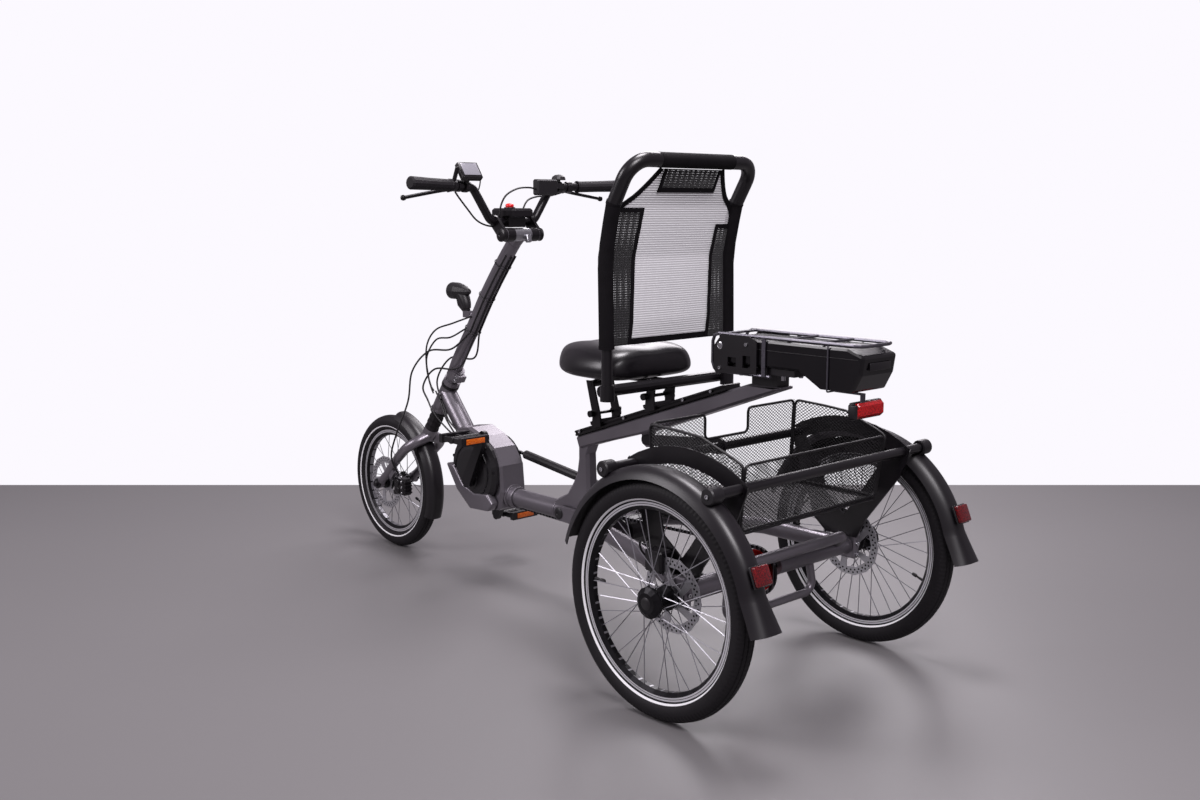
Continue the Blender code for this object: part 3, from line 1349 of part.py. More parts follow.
FENDER_R = 0.275
FENDER_HALF_W = 0.033
FENDER_FIRST = 17
FENDER_LAST = 165
BAR_RING_R = 0.288
CROSS_BAR_R = 0.0105
FRONT_BAR_ANGLE = math.radians(60.9)
REAR_BAR_ANGLE = math.radians(122.0)
REFLECTOR_ANGLE = math.radians(157.5)


def around_axle(radius, angle, y=0.0):
    return Vector((radius * math.cos(angle), y, AXLE_Z + radius * math.sin(angle)))


FRONT_BAR = around_axle(BAR_RING_R, FRONT_BAR_ANGLE)
REAR_BAR = around_axle(BAR_RING_R, REAR_BAR_ANGLE)


def rear_fender(side, sign):
    centre = Vector((0, sign * HALF_TRACK, AXLE_Z))
    count = 14
    sections = []
    for i in range(count):
        angle = math.radians(FENDER_FIRST + (FENDER_LAST - FENDER_FIRST) * i / (count - 1))
        sections.append(fender_section(centre, FENDER_R, 0.025, FENDER_HALF_W, angle))
    last = sections[-1]
    for step, spread in ((0.5, 1.10), (1.0, 1.24)):
        shift = Vector((-0.036 * step, 0, -0.066 * step))
        sections.append([Vector((point.x, centre.y + (point.y - centre.y) * spread, point.z)) + shift
                         for point in last])
    shell = loft(sections, FENDER_WALL, 1)
    pieces = [shell]
    for angle in (FRONT_BAR_ANGLE, REAR_BAR_ANGLE):
        pieces.append(rod(around_axle(FENDER_R - 0.0015, angle, centre.y),
                          around_axle(BAR_RING_R - CROSS_BAR_R - SEAT, angle, centre.y), 0.009, 10))
    lean = math.pi - REFLECTOR_ANGLE
    foot = around_axle(FENDER_R + 0.0035, REFLECTOR_ANGLE, centre.y)
    reflector = around_axle(FENDER_R + 0.0145, REFLECTOR_ANGLE, centre.y)
    pieces.append(box(foot, (0.011, 0.030, 0.030), 0, lean))
    pieces.append(box(reflector, (0.012, 0.045, 0.042), 0.002, lean))
    node("fender_" + side, BLACK_PLASTIC, pieces)


def wheel_bracket(side, sign):
    front = (FRONT_BAR.x, FRONT_BAR.z)
    rear = (REAR_BAR.x, REAR_BAR.z)
    axle = (0, AXLE_Z)
    low = AXLE_Z + CROSS_TUBE_R + SEAT
    outline = [(-0.038, low), (0.050, low), (0.085, 0.300), (0.120, 0.397), (0.140, 0.440)]
    outline += arc(front, 0.020, -40, 50, 2)
    outline += arc(axle, 0.3055, 58.5, 124.5, 10)
    outline += arc(rear, 0.020, 130, 220, 2)
    outline += [(-0.147, 0.431), (-0.060, 0.316)]
    hole = arc(axle, 0.2690, 64.5, 117.5, 6)
    hole += [(-0.088, 0.445), (-0.021, 0.348), (0.0, 0.322), (0.017, 0.336), (0.050, 0.360),
             (0.063, 0.407), (0.096, 0.462)]
    clear = round_hole(CROSS_BAR_R + SEAT, 12)
    holes = [hole, circle(front, clear, 12), circle(rear, clear, 12)]
    inner = LUG_INNER_Y + 0.002
    outer = REAR_DISC_Y + 0.014
    caliper = box((0.046, sign * (inner + outer) / 2, 0.3135), (0.048, outer - inner, 0.046),
                  0.004)
    foot = box((0.024, sign * (BRACKET_Y + inner + 0.010) / 2, 0.2965),
               (0.026, inner + 0.010 - BRACKET_Y, 0.013))
    slot = rod((0, sign * REAR_DISC_Y - DISC_THICK / 2 - 0.0005, AXLE_Z),
               (0, sign * REAR_DISC_Y + DISC_THICK / 2 + 0.0005, AXLE_Z), DISC_R + 0.0015, 40)
    node("wheel_bracket_" + side, BLACK_PAINT,
         [plate(outline, "Y", sign * BRACKET_Y, BRACKET_THICK, holes), caliper, foot], [slot])


def cross_bars():
    half = 0.3665
    cap_start = 0.357
    for name, place in (("front_bar", FRONT_BAR), ("rear_bar", REAR_BAR)):
        pieces = [rod(place - Vector((0, half, 0)), place + Vector((0, half, 0)), CROSS_BAR_R, 12)]
        for sign in (1, -1):
            pieces.append(rod(place + Vector((0, sign * cap_start, 0)),
                              place + Vector((0, sign * (half + 0.001), 0)), 0.0125, 12))
        if name == "front_bar":
            middle = 0.0055 + GUSSET_HALF_W + SEAT
            carrier = two_circle_outline((place.x, place.z), 0.018, (0.378, 0.482), 0.012, 5)
            pieces.append(plate(carrier, "Y", middle - 0.0025, 0.006))
        node(name, BLACK_PAINT, pieces)


BASKET_TOP_HALF = 0.238
BASKET_FLARE = 0.012
BASKET_LOW_HALF = BASKET_TOP_HALF - BASKET_FLARE
BASKET_WIRE_R = 0.003
BASKET_STEP = 2 * BASKET_WIRE_R + SEAT
BASKET_FRONT_X = FRONT_BAR.x - CROSS_BAR_R - BASKET_WIRE_R - SEAT
BASKET_FLOOR_Z = 0.386
BASKET_REAR_TOP = Vector((-0.130, 0, 0.530))
BASKET_REAR_LOW_X = -0.113
STRAND_PITCH = 0.150
STRAND_W = 0.0022
STRAND_LEAN = math.radians(30)


def strand_ends(outline, angle, offset):
    """Stretches of one slanting line that lie inside a flat outline."""
    heading = Vector((math.cos(angle), math.sin(angle)))
    square = Vector((-heading.y, heading.x))
    crossings = []
    for index, point in enumerate(outline):
        first = Vector(point)
        last = Vector(outline[(index + 1) % len(outline)])
        a = first.dot(square) - offset
        b = last.dot(square) - offset
        if (a > 0) != (b > 0):
            crossings.append((first.lerp(last, a / (a - b))).dot(heading))
    crossings.sort()
    result = []
    for low, high in zip(crossings[::2], crossings[1::2]):
        if high - low > 0.010:
            result.append((heading * low + square * offset, heading * high + square * offset))
    return result


def net_panel(name, outline, origin, across, upward, extra=()):
    """Wire rim round a flat outline with slanting strands both ways."""
    across = Vector(across).normalized()
    upward = Vector(upward).normalized()
    normal = across.cross(upward)
    origin = Vector(origin)

    def lifted(point):
        return origin + across * point[0] + upward * point[1]

    rim = tube(bent([lifted(point) for point in outline], 0.006, 1, closed=True),
               BASKET_WIRE_R, 4, closed=True)
    pieces = [rim]
    for way, thick in ((1, 0.0020), (-1, 0.0015)):
        strands = []
        angle = way * STRAND_LEAN
        square = Vector((-math.sin(angle), math.cos(angle)))
        spread = [Vector(point).dot(square) for point in outline]
        offset = math.floor(min(spread) / STRAND_PITCH) * STRAND_PITCH + STRAND_PITCH / 2
        while offset < max(spread):
            for start, end in strand_ends(outline, angle, offset):
                length = (end - start).length
                place = Matrix.Translation(lifted((start + end) / 2))
                turn = Matrix((across, upward, normal)).transposed().to_4x4()
                spin = Matrix.Rotation(angle, 4, "Z")
                work = bmesh.new()
                bmesh.ops.create_cube(work, size=1, matrix=place @ turn @ spin
                                      @ Matrix.Diagonal((length, STRAND_W, thick, 1)))
                strands.append(piece_from_bmesh(work))
            offset += STRAND_PITCH
        pieces.append(joined(strands))
    node(name, BLACK_PAINT, [*pieces, *extra])


def basket():
    low_z = BASKET_FLOOR_Z + BASKET_STEP
    side_lean = (BASKET_TOP_HALF - BASKET_LOW_HALF) / (0.582 - BASKET_FLOOR_Z)
    front = [(-BASKET_LOW_HALF, low_z), (BASKET_LOW_HALF, low_z), (BASKET_TOP_HALF, 0.582),
             (0.072, 0.582), (0.072, 0.526), (-0.072, 0.526), (-0.072, 0.582),
             (-BASKET_TOP_HALF, 0.582)]
    net_panel("basket_front", front, (BASKET_FRONT_X, 0, 0), (0, 1, 0), (0, 0, 1))
    rear_up = Vector((BASKET_REAR_TOP.x - BASKET_REAR_LOW_X, 0, BASKET_REAR_TOP.z - low_z))
    rear_half = BASKET_LOW_HALF + side_lean * (BASKET_REAR_TOP.z - low_z)
    rear = [(-BASKET_LOW_HALF, 0), (BASKET_LOW_HALF, 0), (rear_half, rear_up.length),
            (-rear_half, rear_up.length)]
    hooks = []
    hook_z = REAR_BAR.z
    wall_x = BASKET_REAR_LOW_X + rear_up.x * (hook_z - low_z) / rear_up.z
    bar_face = REAR_BAR.x + CROSS_BAR_R + SEAT
    for y in (-0.11, 0.11):
        hooks.append(box(((wall_x + bar_face + 0.001) / 2, y, hook_z),
                         (wall_x - bar_face + 0.001, 0.012, 0.006)))
        hooks.append(rod((BASKET_REAR_LOW_X, y, low_z), (BASKET_REAR_TOP.x, y, BASKET_REAR_TOP.z),
                         0.0025, 6))
    net_panel("basket_rear", rear, (BASKET_REAR_LOW_X, 0, low_z), (0, 1, 0), rear_up, hooks)
    rear_low = BASKET_REAR_LOW_X
    side = [(BASKET_FRONT_X, 0), (rear_low, 0), (BASKET_REAR_TOP.x, 0.530 - low_z),
            (-0.104, 0.542 - low_z), (-0.065, 0.556 - low_z), (-0.020, 0.573 - low_z),
            (0.040, 0.578 - low_z), (BASKET_FRONT_X, 0.582 - low_z)]
    for label, sign in (("left", 1), ("right", -1)):
        up = Vector((0, sign * side_lean, 1))
        net_panel("basket_" + label, side, (0, sign * (BASKET_LOW_HALF + BASKET_STEP), low_z),
                  (1, 0, 0), up)
    edge = BASKET_LOW_HALF + BASKET_STEP
    floor = [(BASKET_FRONT_X, -edge), (BASKET_FRONT_X, edge), (rear_low, edge), (rear_low, -edge)]
    net_panel("basket_floor", floor, (0, 0, BASKET_FLOOR_Z), (1, 0, 0), (0, 1, 0))


both_sides(rear_fender)
both_sides(wheel_bracket)
cross_bars()
basket()
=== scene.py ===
# Electric tricycle: finishes, fabric, net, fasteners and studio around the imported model.
import json
import math

import bmesh
import bpy
from mathutils import Matrix, Vector


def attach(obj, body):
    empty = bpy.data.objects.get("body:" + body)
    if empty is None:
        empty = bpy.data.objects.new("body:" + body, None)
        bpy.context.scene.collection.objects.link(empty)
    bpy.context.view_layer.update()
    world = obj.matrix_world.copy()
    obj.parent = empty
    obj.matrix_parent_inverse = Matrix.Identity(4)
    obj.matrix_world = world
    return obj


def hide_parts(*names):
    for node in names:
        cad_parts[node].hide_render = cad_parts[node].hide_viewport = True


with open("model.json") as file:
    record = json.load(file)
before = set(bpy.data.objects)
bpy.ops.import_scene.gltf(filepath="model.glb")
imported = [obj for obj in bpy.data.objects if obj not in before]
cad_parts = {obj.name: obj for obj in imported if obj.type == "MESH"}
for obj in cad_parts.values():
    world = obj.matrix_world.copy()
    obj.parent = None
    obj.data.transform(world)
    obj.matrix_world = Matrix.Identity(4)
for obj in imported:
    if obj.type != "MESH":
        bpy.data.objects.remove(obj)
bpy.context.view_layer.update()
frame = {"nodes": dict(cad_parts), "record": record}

NODES = frame["nodes"]

# Sizes shared with the solids, in metres. Places are measured from the floor under the middle of
# the rear axle, and the functions that make pieces shift them to the model's own place.
CENTRE_X = 0.68455
WHEELBASE = 1.4685
REAR_TYRE_R = 0.2485
FRONT_TYRE_R = 0.2025
HALF_TRACK = 0.345
REAR_AXLE = (0, 0, REAR_TYRE_R)
FRONT_AXLE = (WHEELBASE, 0, FRONT_TYRE_R)
SIDES = (("left", 1), ("right", -1))
AHEAD = (1, 0, 0)
LEFT = (0, 1, 0)
UP = (0, 0, 1)


def at(place):
    """Place from the rear axle, in the model's own frame."""
    x, y, z = place
    return Vector((x - CENTRE_X, y, z))


def mm(*places):
    """Pairs or places given in millimetres, in metres."""
    return [tuple(value / 1000 for value in place) for place in places]


# Materials

def linear(hex_colour):
    """sRGB hex to the linear colour that shaders take."""
    result = []
    for i in (0, 2, 4):
        c = int(hex_colour[i:i + 2], 16) / 255
        result.append(c / 12.92 if c <= 0.04045 else ((c + 0.055) / 1.055) ** 2.4)
    return (*result, 1)


PLACED = ("TexNoise", "TexVoronoi", "TexWave", "Mapping", "SeparateXYZ")


def add_node(tree, kind, inputs=(), to=None, **settings):
    """Adds a node with its settings and links. An input is a value, a hex colour, a socket, or a
    node for its first output. The new node's first output goes to the socket given as to. What
    needs a place takes Object coordinates if not told otherwise."""
    result = tree.nodes.new("ShaderNode" + kind)
    for name, value in settings.items():
        setattr(result, name, value)
    inputs = dict(inputs)
    if kind in PLACED and "Vector" not in inputs:
        inputs["Vector"] = tree.nodes.new("ShaderNodeTexCoord").outputs["Object"]
    for name, value in inputs.items():
        if isinstance(value, bpy.types.Node):
            value = value.outputs[0]
        if isinstance(value, bpy.types.NodeSocket):
            tree.links.new(value, result.inputs[name])
        else:
            result.inputs[name].default_value = linear(value) if isinstance(value, str) else value
    if to is not None:
        tree.links.new(result.outputs[0], to)
    return result


def new_material(name, colour, roughness, metallic=0.0, **sockets):
    """Principled material; sockets are set on the shader itself."""
    result = bpy.data.materials.new(name)
    result.use_nodes = True
    shader = result.node_tree.nodes["Principled BSDF"]
    sockets.update(Base_Color=linear(colour), Roughness=roughness, Metallic=metallic)
    for socket, value in sockets.items():
        shader.inputs[socket.replace("_", " ")].default_value = value
    return result, result.node_tree, shader


def ramp(tree, factor, low, high, to=None, low_at=0.3, high_at=0.7):
    """Colour that runs from low to high as the factor grows."""
    result = add_node(tree, "ValToRGB", {"Fac": factor}, to)
    first, last = result.color_ramp.elements
    first.position = low_at
    first.color = linear(low)
    last.position = high_at
    last.color = linear(high)
    return result


def grain(tree, shader, size_mm, strength, depth_mm):
    """Fine bumps of the given size on the whole surface."""
    noise = add_node(tree, "TexNoise", {"Scale": 1000 / size_mm, "Detail": 3.0})
    add_node(tree, "Bump", {"Height": noise, "Strength": strength, "Distance": depth_mm / 1000},
             shader.inputs["Normal"])


def mottle(tree, shader, low, high, size_mm):
    """Soft change of colour over the surface, as paint and plastic show."""
    noise = add_node(tree, "TexNoise", {"Scale": 1000 / size_mm, "Detail": 4.0})
    ramp(tree, noise, low, high, shader.inputs["Base Color"])


def wear(tree, shader, low, high, size_mm):
    """Roughness that varies with handling and dust."""
    noise = add_node(tree, "TexNoise", {"Scale": 1000 / size_mm, "Detail": 5.0})
    add_node(tree, "MapRange", {"Value": noise, "From Min": 0.3, "From Max": 0.7, "To Min": low,
                                "To Max": high}, shader.inputs["Roughness"])


def powder_coat(name, low, high, metallic, roughness):
    """Powder coat on metal: sprayed and baked, faint orange peel, soft broad gloss."""
    result, tree, shader = new_material(name, low, roughness, metallic)
    mottle(tree, shader, low, high, 140)
    grain(tree, shader, 1.4, 0.05, 0.05)
    wear(tree, shader, roughness - 0.02, roughness + 0.03, 220)
    return result


def moulded_plastic(name, low, high, roughness, grain_mm, strength):
    """Injection moulded plastic: spark-eroded grain, even colour, soft gloss. Real grain is 0.1 to
    0.3 mm wide, too fine to show, so grain_mm draws it as coarse as it needs to be."""
    result, tree, shader = new_material(name, low, roughness)
    mottle(tree, shader, low, high, 160)
    grain(tree, shader, grain_mm, strength, 0.10)
    wear(tree, shader, roughness - 0.03, roughness + 0.05, 200)
    return result


def dyed_aluminium(name, low, high):
    """Anodised and dyed aluminium: clear colour with a metal's gloss."""
    result, tree, shader = new_material(name, low, 0.3, 0.85)
    mottle(tree, shader, low, high, 30)
    return result


def brushed_metal(name, low, high, roughness, axis_scale):
    """Steel or aluminium drawn, plated or turned: bright, with fine marks. axis_scale counts them
    to the metre on each axis, and a low one draws them out into lines. Real marks are about 0.1 mm
    wide, too fine to show, so they are drawn 1 to 2 mm wide."""
    result, tree, shader = new_material(name, low, roughness, 1.0)
    place = add_node(tree, "Mapping", {"Scale": axis_scale})
    noise = add_node(tree, "TexNoise", {"Vector": place, "Scale": 1.0, "Detail": 3.0})
    ramp(tree, noise, low, high, shader.inputs["Base Color"])
    add_node(tree, "Bump", {"Height": noise, "Strength": 0.1, "Distance": 0.00005},
             shader.inputs["Normal"])
    return result


def ring_place(tree, centre):
    """Distance from a wheel's axis, which runs along Y, and the angle round it."""
    centre = at(centre)
    moved = add_node(tree, "Mapping", {"Location": (-centre.x, 0, -centre.z)})
    split = add_node(tree, "SeparateXYZ", {"Vector": moved}).outputs
    flat = add_node(tree, "CombineXYZ", {"X": split["X"], "Z": split["Z"]})
    length = add_node(tree, "VectorMath", {0: flat}, operation="LENGTH")
    angle = add_node(tree, "Math", {0: split["Z"], 1: split["X"]}, operation="ARCTAN2")
    return length.outputs["Value"], angle


def within(tree, value, low, high):
    """1 where value is between low and high, else 0."""
    middle = add_node(tree, "Math", {0: value, 1: (low + high) / 2}, operation="SUBTRACT")
    size = add_node(tree, "Math", {0: middle}, operation="ABSOLUTE")
    return add_node(tree, "Math", {0: size, 1: (high - low) / 2}, operation="LESS_THAN")


def mixed(tree, factor, first, second):
    """First colour where the factor is 0, second where it is 1."""
    return add_node(tree, "Mix", {"Factor": factor, 6: first, 7: second},
                    data_type="RGBA").outputs[2]


STRIPE_HALF_W = 0.0018
RIBS_ROUND = 150.0


def tyre_material(name, centre, outer_r, stripe_r):
    """Vulcanised rubber: dull black, ribbed shoulder, a pale reflective ring on each side."""
    result, tree, shader = new_material(name, "0f0c10", 0.62, Specular_IOR_Level=0.3)
    radius, angle = ring_place(tree, centre)
    stripe = within(tree, radius, stripe_r - STRIPE_HALF_W, stripe_r + STRIPE_HALF_W)
    noise = add_node(tree, "TexNoise", {"Scale": 260.0, "Detail": 4.0})
    rubber = ramp(tree, noise, "0d0a0e", "151216")
    tree.links.new(mixed(tree, stripe, rubber, "e4e4e6"), shader.inputs["Base Color"])
    ribs = add_node(tree, "Math", {0: angle, 1: RIBS_ROUND}, operation="MULTIPLY")
    wave = add_node(tree, "Math", {0: ribs}, operation="SINE")
    shoulder = within(tree, radius, outer_r - 0.017, outer_r + 0.002)
    cut = add_node(tree, "Math", {0: wave, 1: shoulder}, operation="MULTIPLY")
    height = add_node(tree, "Math", {0: cut, 1: noise}, operation="ADD")
    add_node(tree, "Bump", {"Height": height, "Strength": 0.35, "Distance": 0.0006},
             shader.inputs["Normal"])
    return result


def wheel_material(name, centre, spoke_low_r, spoke_high_r, side_low_r, side_high_r):
    """Anodised rim with machined sides, bare stainless spokes, black hub."""
    result, tree, shader = new_material(name, "131215", 0.32, 0.7)
    radius, _ = ring_place(tree, centre)
    noise = add_node(tree, "TexNoise", {"Scale": 60.0})
    colour = ramp(tree, noise, "111013", "1c1b1e")
    for low, high, over in ((spoke_low_r, spoke_high_r, "8b8a8f"),
                            (side_low_r, side_high_r, "d6d6da"),
                            (side_low_r + 0.0032, side_low_r + 0.0044, "242327")):
        colour = mixed(tree, within(tree, radius, low, high), colour, over)
    tree.links.new(colour, shader.inputs["Base Color"])
    return result


HOLES_ROUND = 36
HOLE_R = 0.0024
# Radians to the metre, for one grinding line in 0.7 mm. Real ones are about 0.2 mm apart, too fine
# to show, so these are as coarse as they need to be.
GRIND_TURNS = 9000.0


def disc_material(name, centre):
    """Ground stainless brake rotor: concentric grinding lines, and a braking band whose drilled holes
    are not cut but painted near-black as painted shade.
    """
    result, tree, shader = new_material(name, "b2b1b5", 0.34, 0.70)
    radius, angle = ring_place(tree, centre)
    turns = add_node(tree, "Math", {0: radius, 1: GRIND_TURNS}, operation="MULTIPLY")
    lines = add_node(tree, "Math", {0: turns}, operation="SINE")
    add_node(tree, "Bump", {"Height": lines, "Strength": 0.15, "Distance": 0.00006},
             shader.inputs["Normal"])
    colour = ramp(tree, lines, "a3a2a7", "bfbec2")
    for ring_r, phase in ((0.0665, 0.0), (0.0725, 0.5)):
        share = add_node(tree, "Math", {0: angle, 1: HOLES_ROUND / math.tau}, operation="MULTIPLY")
        shifted = add_node(tree, "Math", {0: share, 1: phase + HOLES_ROUND}, operation="ADD")
        part = add_node(tree, "Math", {0: shifted}, operation="FRACT")
        along = add_node(tree, "Math", {0: part, 1: 0.5}, operation="SUBTRACT")
        arc = add_node(tree, "Math", {0: along, 1: ring_r * math.tau / HOLES_ROUND},
                       operation="MULTIPLY")
        out = add_node(tree, "Math", {0: radius, 1: ring_r}, operation="SUBTRACT")
        both = add_node(tree, "CombineXYZ", {"X": arc, "Y": out})
        away = add_node(tree, "VectorMath", {0: both}, operation="LENGTH")
        hole = add_node(tree, "Math", {0: away.outputs["Value"], 1: HOLE_R}, operation="LESS_THAN")
        # Painted shade: each hole is a near-black spot on the steel, standing in for the dark of the
        # open hole.
        colour = mixed(tree, hole, colour, "0c0c0d")
    tree.links.new(colour, shader.inputs["Base Color"])
    return result


CHAIN_PITCH = 0.0127


def chain_material(name):
    """Oiled roller chain: plates and rollers a half inch apart. Its colour follows the links' height,
    darker in the gaps between the rollers as painted shade.
    """
    result, tree, shader = new_material(name, "2a292c", 0.34, 0.9)
    split = add_node(tree, "SeparateXYZ")
    turns = add_node(tree, "Math", {0: split, 1: math.tau / CHAIN_PITCH}, operation="MULTIPLY")
    links = add_node(tree, "Math", {0: turns}, operation="SINE")
    # Painted shade: the colour darkens in the gaps between the rollers, on the same wave as the bump.
    ramp(tree, links, "1a191b", "5f5e62", shader.inputs["Base Color"])
    add_node(tree, "Bump", {"Height": links, "Strength": 0.8, "Distance": 0.0012},
             shader.inputs["Normal"])
    return result


def grip_material(name):
    """Soft moulded rubber grip: small raised cells 3.3 mm wide, 300 to the metre, matt."""
    result, tree, shader = new_material(name, "110d12", 0.66, Specular_IOR_Level=0.3)
    mottle(tree, shader, "0f0c10", "171318", 40)
    cells = add_node(tree, "TexVoronoi", {"Scale": 300.0}, feature="DISTANCE_TO_EDGE")
    add_node(tree, "Bump", {"Height": cells, "Strength": 0.6, "Distance": 0.0006},
             shader.inputs["Normal"])
    return result


def lens(name, low, high):
    """Moulded acrylic lens: clear colour, 3 mm prisms inside, 330 to the metre, glossy outside."""
    result, tree, shader = new_material(name, low, 0.16, Coat_Weight=0.2, Coat_Roughness=0.05)
    cells = add_node(tree, "TexVoronoi", {"Scale": 330.0}, distance="CHEBYCHEV")
    ramp(tree, cells, high, low, shader.inputs["Base Color"], 0.1, 0.6)
    add_node(tree, "Bump", {"Height": cells, "Strength": 0.3, "Distance": 0.0006},
             shader.inputs["Normal"])
    return result


def vinyl(name):
    """Smooth coated vinyl over foam: leather grain, soft sheen. Real grain is about 1 mm wide, too
    fine to show, so it is drawn 1.9 mm wide, 520 to the metre."""
    result, tree, shader = new_material(name, "0c090d", 0.30, Specular_IOR_Level=0.45)
    mottle(tree, shader, "0b080c", "120f13", 60)
    cells = add_node(tree, "TexVoronoi", {"Scale": 520.0})
    add_node(tree, "Bump", {"Height": cells, "Strength": 0.06, "Distance": 0.0003},
             shader.inputs["Normal"])
    return result


def woven_tape(name):
    """Woven polyester: fine cross ribs, matt black. A scale of 420 puts the ribs 1.5 mm apart."""
    result, tree, shader = new_material(name, "09070a", 0.80, Specular_IOR_Level=0.15)
    mottle(tree, shader, "080609", "0f0c10", 30)
    weave = add_node(tree, "TexWave", {"Scale": 420.0, "Distortion": 1.5}, bands_direction="DIAGONAL")
    add_node(tree, "Bump", {"Height": weave.outputs["Fac"], "Strength": 0.25, "Distance": 0.0003},
             shader.inputs["Normal"])
    return result


def knit_mesh(name, low, high, cell_y_mm, cell_z_mm, open_share):
    """Knitted spacer mesh: threads round open cells, so what is behind shows through."""
    result, tree, shader = new_material(name, low, 0.75, Sheen_Weight=0.2)
    split = add_node(tree, "SeparateXYZ").outputs
    waves = []
    for axis, cell in (("Y", cell_y_mm), ("Z", cell_z_mm)):
        turns = add_node(tree, "Math", {0: split[axis], 1: math.tau * 1000 / cell},
                         operation="MULTIPLY")
        waves.append(add_node(tree, "Math", {0: turns}, operation="COSINE"))
    both = add_node(tree, "Math", {0: waves[0], 1: waves[1]}, operation="ADD")
    hole = add_node(tree, "Math", {0: both, 1: 2 - 4 * open_share}, operation="GREATER_THAN")
    ramp(tree, waves[1], low, high, shader.inputs["Base Color"], 0.0, 1.0)
    add_node(tree, "Bump", {"Height": both, "Strength": 0.4, "Distance": 0.0006},
             shader.inputs["Normal"])
    add_node(tree, "MixShader", {"Fac": hole, 1: shader, 2: add_node(tree, "BsdfTransparent")},
             tree.nodes["Material Output"].inputs["Surface"])
    return result


GREY_COAT = powder_coat("powder_coated_aluminium_grey", "736f75", "7d797f", 0.78, 0.34)
BLACK_COAT = powder_coat("powder_coated_steel_black", "0b080c", "110e12", 0.0, 0.32)
BLACK_ALLOY = powder_coat("anodised_aluminium_black", "0f0c10", "161317", 0.30, 0.32)
BLACK_NYLON = moulded_plastic("moulded_nylon_black", "0c090d", "120f13", 0.42, 0.9, 0.10)
GLOSS_ABS = moulded_plastic("moulded_abs_gloss_black", "08060a", "0c0a0d", 0.20, 2.5, 0.02)
CABLE_PVC = moulded_plastic("extruded_pvc_black", "0a080b", "100d11", 0.40, 1.5, 0.05)
FENDER_COAT = moulded_plastic("moulded_polypropylene_black", "0c090d", "130f14", 0.36, 1.2, 0.05)
WIRE_COAT = powder_coat("dipped_wire_black", "080609", "0d0a0e", 0.0, 0.50)
RACK_STEEL = brushed_metal("drawn_steel_dark_zinc", "58565d", "74727a", 0.34, (200, 900, 900))
BOLT_STEEL = brushed_metal("zinc_plated_steel", "a9a9ad", "c9c9cc", 0.24, (900, 900, 900))
FOOT_ALLOY = brushed_metal("machined_aluminium", "97979c", "b5b5b9", 0.30, (600, 600, 600))
TYRE_REAR = tyre_material("vulcanised_rubber_rear", REAR_AXLE, REAR_TYRE_R, 0.2086)
TYRE_FRONT = tyre_material("vulcanised_rubber_front", FRONT_AXLE, FRONT_TYRE_R, 0.170)
WHEEL_REAR = wheel_material("anodised_rim_rear", REAR_AXLE, 0.0345, 0.1865, 0.1955, 0.2036)
WHEEL_FRONT = wheel_material("anodised_rim_front", FRONT_AXLE, 0.0290, 0.141, 0.1495, 0.1576)
DISC_REAR = disc_material("ground_stainless_rear", REAR_AXLE)
DISC_FRONT = disc_material("ground_stainless_front", FRONT_AXLE)
CHAIN_STEEL = chain_material("oiled_chain_steel")
GRIP_RUBBER = grip_material("moulded_grip_rubber")
RED_LENS = lens("moulded_acrylic_red", "3c0106", "74050b")
TAIL_LENS = lens("moulded_acrylic_bright_red", "7c0509", "d8181c")
AMBER_LENS = lens("moulded_acrylic_amber", "b4480c", "e97a22")
SEAT_VINYL = vinyl("coated_vinyl_black")
TAPE = woven_tape("woven_polyester_tape")
SLEEVE = woven_tape("woven_polyester_sleeve")
LAMP_LENS = moulded_plastic("moulded_polycarbonate_lens", "a3a6ad", "c3c6cc", 0.10, 6.0, 0.02)
LCD = moulded_plastic("coated_display_glass", "77767d", "85848b", 0.16, 6.0, 0.01)
RED_ANODISED = dyed_aluminium("anodised_aluminium_red", "8d1717", "b32422")
RED_BUTTON = moulded_plastic("moulded_abs_red", "c01318", "d91f22", 0.28, 2.0, 0.04)
MAIN_MESH = knit_mesh("knitted_mesh_pale", "c6c5c8", "e6e5e8", 3.6, 5.2, 0.15)
DARK_MESH = knit_mesh("knitted_mesh_black", "0f0e10", "1d1c1f", 4.6, 5.4, 0.20)

FINISH = {
    "grey_paint": GREY_COAT, "grey_alloy": GREY_COAT, "black_paint": BLACK_COAT,
    "black_alloy": BLACK_ALLOY, "black_plastic": BLACK_NYLON,
    "gloss_black_plastic": GLOSS_ABS, "grip_rubber": GRIP_RUBBER,
    "chain_steel": CHAIN_STEEL, "rack_metal": RACK_STEEL, "red_anodised": RED_ANODISED,
    "red_lens": TAIL_LENS, "red_plastic": RED_BUTTON, "seat_vinyl": SEAT_VINYL,
    "back_fabric": MAIN_MESH, "cable_black": CABLE_PVC, "steel": DISC_REAR,
    "dark_metal": BLACK_ALLOY, "tyre_rubber": TYRE_REAR,
}
SLOT_OF = {row["node"]: row["material_slot"] for row in frame["record"]["subparts"]}
OWN_FINISH = {
    "rear_wheel_left": WHEEL_REAR, "rear_wheel_right": WHEEL_REAR, "front_wheel": WHEEL_FRONT,
    "front_disc": DISC_FRONT, "front_tyre": TYRE_FRONT,
}


def paint(ob, material):
    ob.data.materials.clear()
    ob.data.materials.append(material)


for name, ob in NODES.items():
    paint(ob, OWN_FINISH.get(name, FINISH[SLOT_OF[name]]))


# Making pieces

def only(ob):
    """Makes one object the selected and active one."""
    bpy.ops.object.select_all(action="DESELECT")
    ob.select_set(True)
    bpy.context.view_layer.objects.active = ob


def new_object(name, data):
    ob = bpy.data.objects.new(name, data)
    bpy.context.scene.collection.objects.link(ob)
    only(ob)
    return ob


def primitive(add, **settings):
    """New basic mesh by one of Blender's add operators, as the selected and active object."""
    bpy.ops.object.select_all(action="DESELECT")
    add(**settings)
    return bpy.context.view_layer.objects.active


